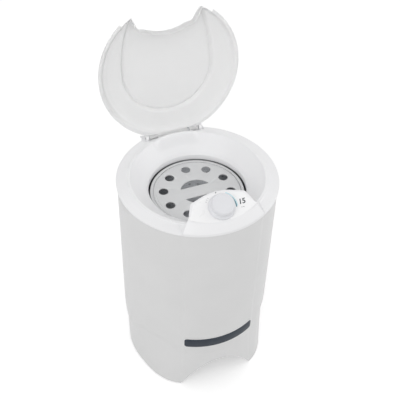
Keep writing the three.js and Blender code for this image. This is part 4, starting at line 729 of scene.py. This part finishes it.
# upright block on the console's plan, cut off by the tilted face and by the bulging slope
def consoleForm(name, inset, bottom):
    plan = [fromAxis(p.x, p.y, bottom) for p in consolePlan(inset)]
    form = pullOutline(name, plan, (0, 0, console["top"] - bottom))
    lower = inset / math.cos(math.radians(console["tilt"]))
    back, front = console["faceEnds"]
    base = bottom - console["faceBelow"]
    side = [(back, base), (back, faceHeight(back) - lower), (front, faceHeight(front) - lower), (front, base)]
    points = [fromAxis(-console["half"], y, z) for y, z in side]
    cutWith(form, pullOutline("faceHalf", points, (2 * console["half"], 0, 0)), "INTERSECT")
    startRadius, startRise, endRadius, endRise, bulge = console["slope"]
    edge, base = endRadius - inset, bottom - console["slopeBelow"]
    rows = [(0, base, 0), (edge, base, 0), (edge, rim + endRise - inset / 2, 0)]
    for step in range(1, console["slopeSteps"] + 1):
        share = 1 - step / console["slopeSteps"]
        radius = startRadius + (endRadius - startRadius) * share - inset / 2
        rise = startRise + (endRise - startRise) * share + bulge * 4 * share * (1 - share)
        rows.append((radius, rim + rise - inset, 0))
    rows.append((0, rows[-1][1], 0))
    slope = turnCorners("slopeForm", rows, console["slopeSegments"], closed=False)
    cutWith(form, slope, "INTERSECT")
    return form


# the tilted face's own axes, with the knob's middle as their origin
def faceMatrix(rise=0.0):
    tilt = Matrix.Rotation(math.radians(console["tilt"]), 4, "X")
    place = fromAxis(0, -console["knobY"], faceHeight(-console["knobY"]))
    return Matrix.Translation(place) @ tilt @ Matrix.Translation((0, 0, rise * mm))


def flattenFace(piece):
    seat = faceMatrix()
    normal, middle = seat.to_3x3() @ upwards, seat.translation
    alignment, within = console["flat"]
    near = [corner.index for corner in piece.data.vertices
            if corner.normal.dot(normal) > alignment and abs((corner.co - middle).dot(normal)) < within * mm]
    for i in near:
        corner = piece.data.vertices[i]
        corner.co -= normal * (corner.co - middle).dot(normal)


def cutBushHole(piece):
    bush = addDisc("bushRoom", *console["bush"], origin)
    placeBy(bush, faceMatrix())
    cutWith(piece, bush)


def makeConsole():
    bottom = rim - console["footDrop"]
    housing = consoleForm("controlConsole", 0, bottom)
    applyModifier(housing, "REMESH", mode="VOXEL", voxel_size=console["voxel"] * mm)
    applyModifier(housing, "SMOOTH", factor=console["smoothFactor"], iterations=console["smoothings"])
    flattenFace(housing)
    cutWith(housing, consoleForm("hollowForm", console["wall"], bottom - console["hollowDrop"]))
    cutWith(housing, underCollar("collarRoom", console["gap"], console["roomBottom"]))
    cutBushHole(housing)
    finishPiece(housing, "cabinet", "white_plastic", replaced=["control_console"], angle=40)


# the white printed panel that lies on the tilted face; its whiter plastic is partly the panel's own tone and
# partly painted light on the face turned towards the lamps
def makeFacePanel():
    low, height = console["panelHeights"]
    plan = [fromAxis(p.x, p.y, low) for p in consolePlan(console["panelInset"])]
    panel = pullOutline("facePanel", plan, (0, 0, height))
    cutWith(panel, addDisc("panelFront", *console["panelFront"], segments=240), "INTERSECT")
    slab = addDisc("panelSlab", *console["panelSlab"], origin, segments=96)
    placeBy(slab, faceMatrix())
    cutWith(panel, slab, "INTERSECT")
    cutBushHole(panel)
    finishPiece(panel, "cabinet", "white_plastic", facePanelPaintedLight)


makeConsole()
makeFacePanel()

# timer knob in two tiers, and the printed scale round it
knob = {
    "profile": [(0, 23.0, 0), (21.2, 22.9, 0.6), (22, 23.7, 0.8), (24.8, 23.6, 0.8), (27, 20.6, 2),
                (27.9, 10.6, 0.5), (27.0, 10, 0.4), (27.1, 8.6, 0.4), (28.8, 8.0, 0.8), (31.4, 6.2, 1.4),
                (32, 0.8, 0.3), (29.6, 0.8, 0.3), (24.6, 14, 1), (8, 14, 0.5),
                (8, 0.8, 0.3), (3.3, 0.8, 0), (3.3, 14.6, 0), (0, 14.6, 0)],
    "segments": 120,
}
# arcs are (inner, outer, start, end, ink), numbers (text, angle, radius, size, weight),
# ticks (inner, outer, angle, width); angles run clockwise from the top
scaleMarks = {
    "arcs": ((34.2, 36.8, 46, 103, "tealInk"), (36.8, 39.6, 32, 98, "blueInk")),
    "numbers": (("15", 88, 50.5, 17.5, 0.45), ("0", 357, 37.5, 5, 0.15)),
    "ticks": ((36, 38.6, 304, 0.8), (36, 38.6, 312, 0.8), (36, 38.6, 320, 0.8), (46, 49, 104, 0.7),
              (50, 54, 103, 0.7)),
    "thickness": 0.06, "rise": 0.22, "shear": 0.2, "degreesPerStep": 3,
}


def makeKnob():
    body = turnCorners("timerKnob", knob["profile"], knob["segments"], closed=False, centre=origin)
    placeBy(body, faceMatrix())
    finishPiece(body, "timer_control", "knob_plastic", replaced=["timer_knob"], angle=40)


def flatArc(radius, turns):
    return [Vector((radius * math.sin(turn) * mm, radius * math.cos(turn) * mm, 0)) for turn in turns]


def flatSector(name, inner, outer, start, end):
    steps = max(2, int(abs(end - start) / scaleMarks["degreesPerStep"]))
    turns = [math.radians(start + (end - start) * i / steps) for i in range(steps + 1)]
    outline = flatArc(outer, turns) + flatArc(inner, turns[::-1])
    return pullOutline(name, outline, (0, 0, scaleMarks["thickness"]))


def makeNumber(text, angle, radius, size, weight):
    deselectAll()
    bpy.ops.object.text_add()
    label = bpy.context.object
    label.data.body = text
    label.data.size = size * mm
    label.data.align_x, label.data.align_y = "CENTER", "CENTER"
    label.data.extrude = scaleMarks["thickness"] / 2 * mm
    label.data.offset = weight * mm
    label.data.shear = scaleMarks["shear"]
    bpy.ops.object.convert(target="MESH")
    label.location = flatArc(radius, [math.radians(angle)])[0]
    label.location.z = scaleMarks["thickness"] / 2 * mm
    return newPiece("scaleNumber")


def makeScale():
    seat = faceMatrix(scaleMarks["rise"])
    for inner, outer, start, end, ink in scaleMarks["arcs"]:
        arc = flatSector("scaleArc", inner, outer, start, end)
        placeBy(arc, seat)
        finishPiece(arc, "cabinet", "white_plastic", inks[ink])
    marks = []
    for inner, outer, angle, width in scaleMarks["ticks"]:
        spread = math.degrees(width / 2 / inner)
        marks.append(flatSector("scaleTick", inner, outer, angle - spread, angle + spread))
    for numberSizes in scaleMarks["numbers"]:
        marks.append(makeNumber(*numberSizes))
    printed = joinAll(marks, "scaleMarks")
    placeBy(printed, seat)
    finishPiece(printed, "cabinet", "white_plastic", inks["darkInk"])


makeKnob()
makeScale()

# loose disc in the basket's mouth, with round holes and two half-moon finger openings
disc = {
    "profile": [(0, 550.3, 0), (108.7, 550.3, 0), (109.5, 550.9, 0.3), (109.5, 552.3, 0.5),
                (106.2, 552.9, 0.5), (104.6, 552.9, 0.3), (104.0, 552.45, 0.2), (103.2, 552.45, 0.2),
                (102.6, 552.9, 0.3), (0, 552.9, 0)],
    "segments": 180, "holes": 10, "holeCircle": 84, "holeRadius": 12, "cutHeights": (530, 570),
    "moonRadius": 42, "barHalf": 18, "moonCorner": 3, "moonSteps": 32,
}


def makeDisc():
    low, high = disc["cutHeights"]
    plate = turnCorners("looseDisc", disc["profile"], disc["segments"], closed=False)
    for i in range(disc["holes"]):
        place = around(disc["holeCircle"], 360 * i / disc["holes"])
        cutWith(plate, addDisc("discHole", disc["holeRadius"], low, high, place))
    radius, steps = disc["moonRadius"], disc["moonSteps"]
    start = math.asin(disc["barHalf"] / radius)
    for side in (-1, 1):
        corners = []
        for step in range(steps + 1):
            turn = start + (math.pi - 2 * start) * step / steps
            rounding = disc["moonCorner"] if step in (0, steps) else 0
            corners.append((radius * math.cos(turn), side * radius * math.sin(turn), rounding))
        moon = [fromAxis(p.x, p.y, low) for p in roundCorners(corners)]
        cutWith(plate, pullOutline("fingerOpening", moon, (0, 0, high - low)))
    bevelEdges(plate, width=0.35)
    finishPiece(plate, "basket_disc", "grey_plastic", replaced=["basket_lid"])


makeDisc()

# perforated basket
basket = {
    "outer": [(16.2, 212, 0), (135, 212, 8), (147, 224, 8), (147, 513, 14), (117.5, 546, 4),
              (117.5, 551.9, 0.3), (110.3, 551.9, 0.3), (110.3, 550, 0.5), (103, 550, 0.4),
              (103, 548.5, 0.4)],
    "inner": [(111.8, 548.5, 0.5), (116, 545.2, 3), (145.5, 512.4, 12.5), (145.5, 224.6, 6.5),
              (134.4, 213.5, 6.5), (16.2, 213.5, 0)],
    "mouthRing": [(110.4, 551.95, 0.2), (117.5, 551.95, 0.4), (117.5, 553.1, 0.6), (110.4, 553.1, 0.4)],
    "segments": 160, "holeRadius": 2.4, "holeSides": 10, "holeDepth": 12, "holeCircle": 146.2,
    "rows": 12, "perRow": 40, "firstRow": 245, "rowPitch": 22,
}


def makeBasketHoles():
    deselectAll()
    bpy.ops.mesh.primitive_cylinder_add(vertices=basket["holeSides"], radius=basket["holeRadius"] * mm,
                                        depth=basket["holeDepth"] * mm, rotation=(math.pi / 2, 0, 0))
    model = newPiece("basketHole")
    rods = []
    for row in range(basket["rows"]):
        for i in range(basket["perRow"]):
            turn = 360 * (i + 0.5 * (row % 2)) / basket["perRow"]
            rod = copyOf(model, "basketHole")
            rod.location = around(basket["holeCircle"], turn, basket["firstRow"] + row * basket["rowPitch"])
            rod.rotation_euler = (0, 0, math.radians(turn))
            rods.append(rod)
    bpy.data.objects.remove(model)
    holes = joinAll(rods, "basketHoles")
    bpy.ops.object.transform_apply(location=True, rotation=True)
    return holes


def makeBasket():
    drum = turnCorners("basketDrum", basket["outer"] + basket["inner"], basket["segments"])
    cutWith(drum, makeBasketHoles())
    finishPiece(drum, "basket", "stainless", replaced=["basket_drum"])
    ring = turnCorners("mouthRing", basket["mouthRing"], basket["segments"])
    finishPiece(ring, "basket", "grey_plastic")


makeBasket()

# frosted lid, built closed and then opened about its hinge; boxes as on the collar
lid = {
    "dome": [(0, 31.2), (40, 30.6), (80, 29.2), (116, 26.8), (140, 24), (156.7, 21.2), (169, 17),
             (174.6, 8.8)],
    "rings": 2, "segments": 240, "wall": 2.2, "foot": 0.45, "footPower": 8,
    "rim": [(175.6, 8.8, 0.4), (181.6, 8.6, 0.7), (182, 5.4, 0.4), (180.4, 5.4, 0.4), (180.2, 6.4, 0.3),
            (174.2, 6.4, 0.3)],
    "plateau": [(0, 118), (-30, 117), (-60, 113), (-90, 107), (-120, 98), (-151, 87), (-200, 70)],
    "step": 6, "stepWidth": 7, "stepFade": (-115, -151, 0.7), "channel": (2.4, 2.5, 3.6),
    "bentReach": 174.8, "bentAbove": 6.8, "skirtBottom": 7.4, "skirtSink": 0.03, "skirtBentAbove": 7.9,
    "tip": (87, 151), "back": (70, 112), "middle": 96, "corner": 12, "cornerSteps": 10,
    "curveEnd": (52, 108.4), "curveSteps": 16, "curveGrow": 0.4, "notchFar": 235, "cutHeights": (560, 680),
    "tipCut": (40, 240, 12), "tipKeep": (175, 500, 700), "barrel": (5.2, -66, 66), "barrelSegments": 64,
    "behind": (-68.5, 68.5, 177.6, 230, 560, 680), "earRoom": (66, 79, 166.5, 230, 560, 680),
    "crankRoom": (7, 37.2, 42.8), "nib": (-43, -37, 173, 177, 599.7), "openAngle": 98,
}


# the notch that closes round the console; grown by the wall it bounds the lid's own skirt
def notchPrism(name, grow):
    (tipX, tipY), (backX, backY) = lid["tip"], lid["back"]
    reach = (lid["notchFar"] - backY) / (tipY - backY)
    right = [(backX + grow + (tipX - backX) * reach, -(backY - grow) - (tipY - backY) * reach, 0),
             (backX + grow, -(backY - grow), lid["corner"])]
    endX, endY = lid["curveEnd"][0] + grow * lid["curveGrow"], -(lid["curveEnd"][1] - grow)
    curve = bowedEdge(endX, endY, -(lid["middle"] - grow), lid["curveSteps"])
    outline = roundCorners(right + curve + mirrored(right), steps=lid["cornerSteps"])
    low, high = lid["cutHeights"]
    return pullOutline(name, [fromAxis(p.x, p.y, low) for p in outline], (0, 0, high - low))


# how far the raised middle stands over the dome: a U that runs out towards the two tips
def plateauRise(x, y):
    if y >= 0:
        inside = lid["plateau"][0][1] - math.hypot(x, y)
    else:
        inside = along(lid["plateau"], y) - abs(x)
    first, last, loss = lid["stepFade"]
    fade = 1 - loss * easedShare(-y, -first, -last)
    depth, middle, width = lid["channel"]
    channel = depth * math.exp(-((inside - middle) / width) ** 2)
    return fade * (lid["step"] * easedShare(inside, -lid["stepWidth"] / 2, lid["stepWidth"] / 2) + channel)


def domeRows(drop):
    shift = drop * lid["foot"]
    end = lid["dome"][-1][0] - shift
    count = int(end / lid["rings"])
    rows = []
    for i in range(count + 1):
        radius = end * i / count
        place = radius + shift * (i / count) ** lid["footPower"]
        rows.append((radius, along(lid["dome"], place) - drop, 0))
    return rows


def liftPlateau(piece, above):
    for corner in piece.data.vertices:
        x, y = corner.co.x / mm, (corner.co.y - axisY) / mm
        if math.hypot(x, y) < lid["bentReach"] and corner.co.z / mm - rim > above:
            corner.co.z += plateauRise(x, y) * mm


# wedge that takes the rim off beside the notch, outside the kept radius
def tipCut():
    angle, radius, steps = lid["tipCut"]
    low, high = lid["cutHeights"]
    turns = [angle * (2 * step / steps - 1) for step in range(steps + 1)]
    points = [fromAxis(0, 0, low)] + [around(radius, turn, low) for turn in turns]
    wedge = pullOutline("tipCut", points, (0, 0, high - low))
    cutWith(wedge, addDisc("tipKeep", *lid["tipKeep"], segments=180))
    return wedge


def makeLid():
    hinge = (collar["hingeY"], hingeHeight)
    shellRows = domeRows(0) + lid["rim"] + domeRows(lid["wall"])[::-1]
    shell = turnCorners("lidShell", shellRows, lid["segments"], closed=False, lift=rim)
    liftPlateau(shell, lid["bentAbove"])
    edge, bottom = lid["dome"][-1][0], lid["skirtBottom"]
    skirtRows = domeRows(0) + [(edge, bottom, 0), (0, bottom, 0)]
    skirt = turnCorners("lidSkirt", skirtRows, lid["segments"], closed=False, lift=rim - lid["skirtSink"])
    liftPlateau(skirt, lid["skirtBentAbove"])
    cutWith(skirt, notchPrism("skirtBand", lid["wall"]), "INTERSECT")
    cutWith(shell, skirt, "UNION")
    cutWith(shell, notchPrism("notch", 0))
    cutWith(shell, tipCut())
    cutWith(shell, addBox("behind", *lid["behind"]))
    for side in (-1, 1):
        cutWith(shell, addBox("earRoom", *lid["earRoom"], side))
    cutWith(shell, rodAlongX("barrel", *lid["barrel"], *hinge, lid["barrelSegments"]), "UNION")
    nib = addBox("nib", *lid["nib"], hingeHeight)
    bevelEdges(nib, width=1, angle=50, segments=3)
    cutWith(shell, nib, "UNION")
    cutWith(shell, rodAlongX("shaftBore", *collar["shaftBore"], *hinge))
    cutWith(shell, rodAlongX("crankRoom", *lid["crankRoom"], *hinge))
    bevelEdges(shell, width=0.3)
    pivot = Matrix.Translation(fromAxis(0, *hinge))
    turn = Matrix.Rotation(-math.radians(lid["openAngle"]), 4, "X")
    placeBy(shell, pivot @ turn @ pivot.inverted())
    finishPiece(shell, "lid", "frosted_plastic", replaced=["lid_shell"], angle=50)


makeLid()

# dark strip with a light border on the front panel
# each part is (low, high, inner radius, outer radius, half its angle, corner)
strip = {
    "border": (171, 207, 198.45, 199.2, 29, 9), "plate": (172.6, 205.2, 198.9, 199.5, 28.5, 7.6),
    "segments": 360, "edge": 0.25, "edgeSteps": 3, "cornerSteps": 10, "reach": (-250, 200),
}


def stripPart(name, low, high, inner, outer, half, corner):
    edge = strip["edge"]
    profile = [(inner, low, 0), (outer, low, edge), (outer, high, edge), (inner, high, 0)]
    band = turnCorners(name, profile, strip["segments"], steps=strip["edgeSteps"])
    side = outer * math.sin(math.radians(half))
    plate = [(x, z, corner) for x, z in ((-side, low), (side, low), (side, high), (-side, high))]
    start, depth = strip["reach"]
    outline = [fromAxis(p.x, start, p.y) for p in roundCorners(plate, steps=strip["cornerSteps"])]
    cutWith(band, pullOutline("stripOutline", outline, (0, depth, 0)), "INTERSECT")
    return band


def makeStrip():
    border = stripPart("stripBorder", *strip["border"])
    finishPiece(border, "cabinet", "badge_plastic", borderPlastic, ["front_badge"])
    finishPiece(stripPart("stripPlate", *strip["plate"]), "cabinet", "badge_plastic")


makeStrip()

# suspension springs, coiled at one fixed length
spring = {
    "names": ("front", "right", "left"), "circle": 130, "meanRadius": 12.5, "wire": 1.8,
    "low": 127.5, "high": 157.78, "turns": 4, "steps": 28, "sides": 12,
}


def makeSprings():
    deselectAll()
    bpy.ops.mesh.primitive_circle_add(
        vertices=spring["sides"], radius=spring["wire"] * mm, rotation=(math.pi / 2, 0, 0),
        location=(spring["meanRadius"] * mm, 0, 0))
    model = newPiece("springModel")
    pitch = (spring["high"] - spring["low"]) / spring["turns"]
    applyModifier(model, "SCREW", screw_offset=pitch * mm, iterations=spring["turns"], steps=spring["steps"],
                  render_steps=spring["steps"])
    editAll(model)
    bpy.ops.mesh.fill_holes(sides=spring["sides"])
    mergeAndTurnOut()
    for i, name in enumerate(spring["names"]):
        coil = copyOf(model, "spring_" + name + "_coil")
        foot = around(spring["circle"], 360 * i / len(spring["names"]), spring["low"])
        placeBy(coil, Matrix.Translation(foot))
        finishPiece(coil, None, "plain_steel", replaced=["spring_" + name])
        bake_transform(coil)
    bpy.data.objects.remove(model)


makeSprings()

# procedural finishes for the CAD pieces that stay; the tub's gasket gets pale grey in place of black rubber,
# as painted light in the shaded gap round the disc
slotOf = {entry["node"]: entry["material_slot"] for entry in frame["record"]["subparts"]}
for name, node in frame["nodes"].items():
    node.data.materials.clear()
    node.data.materials.append(sealPaintedLight if name == "tub_gasket" else finishes[slotOf[name]])
print("CAD pieces given their finishes:", len(slotOf))

# floor, background and soft studio light
studio = {
    "floorSize": 12, "floorTone": 0.75, "floorGlow": 0.42, "worldLight": 0.72, "aim": (0, 0, 0.4),
    "lamps": (("keyLight", (-2.2, -2.2, 3.4), 2.4, 40), ("fillLight", (2.8, -0.6, 2.4), 2.0, 16)),
    "basketLight": ((0, -0.02, 0.30), 0.07, 0.07),
}


# one for the named rays of Light Path, else zero
def raysOf(tree, *kinds):
    path = tree.nodes.new("ShaderNodeLightPath")
    share = path.outputs[kinds[0]]
    for kind in kinds[1:]:
        larger = tree.nodes.new("ShaderNodeMath")
        larger.operation = "MAXIMUM"
        tree.links.new(share, larger.inputs[0])
        tree.links.new(path.outputs[kind], larger.inputs[1])
        share = larger.outputs["Value"]
    return share


def makeFloor():
    deselectAll()
    bpy.ops.mesh.primitive_grid_add(x_subdivisions=8, y_subdivisions=8, size=studio["floorSize"])
    floor = newPiece("floor")
    material, tree, shader, place = startMaterial("floorPaper")
    addTones(tree, shader, addNoise(tree, place, scale=3), [studio["floorTone"]] * 3, drift=0.01)
    setSockets(shader, {"Roughness": 0.9, "Specular IOR Level": 0, "Emission Color": (1, 1, 1, 1)})
    glow = tree.nodes.new("ShaderNodeMath")
    glow.operation = "MULTIPLY"
    glow.inputs[1].default_value = studio["floorGlow"]
    tree.links.new(raysOf(tree, "Is Camera Ray", "Is Glossy Ray"), glow.inputs[0])
    tree.links.new(glow.outputs["Value"], shader.inputs["Emission Strength"])
    floor.data.materials.append(material)


def makeWorld():
    world = bpy.data.worlds.new("softRoom")
    bpy.context.scene.world = world
    world.use_nodes = True
    tree = world.node_tree
    background = tree.nodes["Background"]
    setSockets(background, {"Color": (1, 1, 1, 1)})
    strength = tree.nodes.new("ShaderNodeMapRange")
    setSockets(strength, {"To Min": studio["worldLight"], "To Max": 1})
    seen = raysOf(tree, "Is Camera Ray", "Is Transmission Ray", "Is Glossy Ray")
    tree.links.new(seen, strength.inputs["Value"])
    tree.links.new(strength.outputs["Result"], background.inputs["Strength"])


def addLamp(name, kind, place, power):
    deselectAll()
    bpy.ops.object.light_add(type=kind, location=place)
    lamp = bpy.context.object
    lamp.name = name
    lamp.data.energy = power
    return lamp


# two soft lamps outside and a weak one in the basket, whose inside shows through the disc's holes
def makeLamps():
    for name, place, size, power in studio["lamps"]:
        lamp = addLamp(name, "AREA", place, power)
        lamp.data.size = size
        lamp.rotation_euler = (Vector(studio["aim"]) - Vector(place)).to_track_quat("-Z", "Y").to_euler()
    place, radius, power = studio["basketLight"]
    lamp = addLamp("basketLight", "POINT", Vector(place) + axisPoint, power)
    lamp.data.shadow_soft_size = radius


makeFloor()
makeWorld()
makeLamps()
bpy.context.scene.view_settings.view_transform = "Standard"
print("floor, background and lamps made")
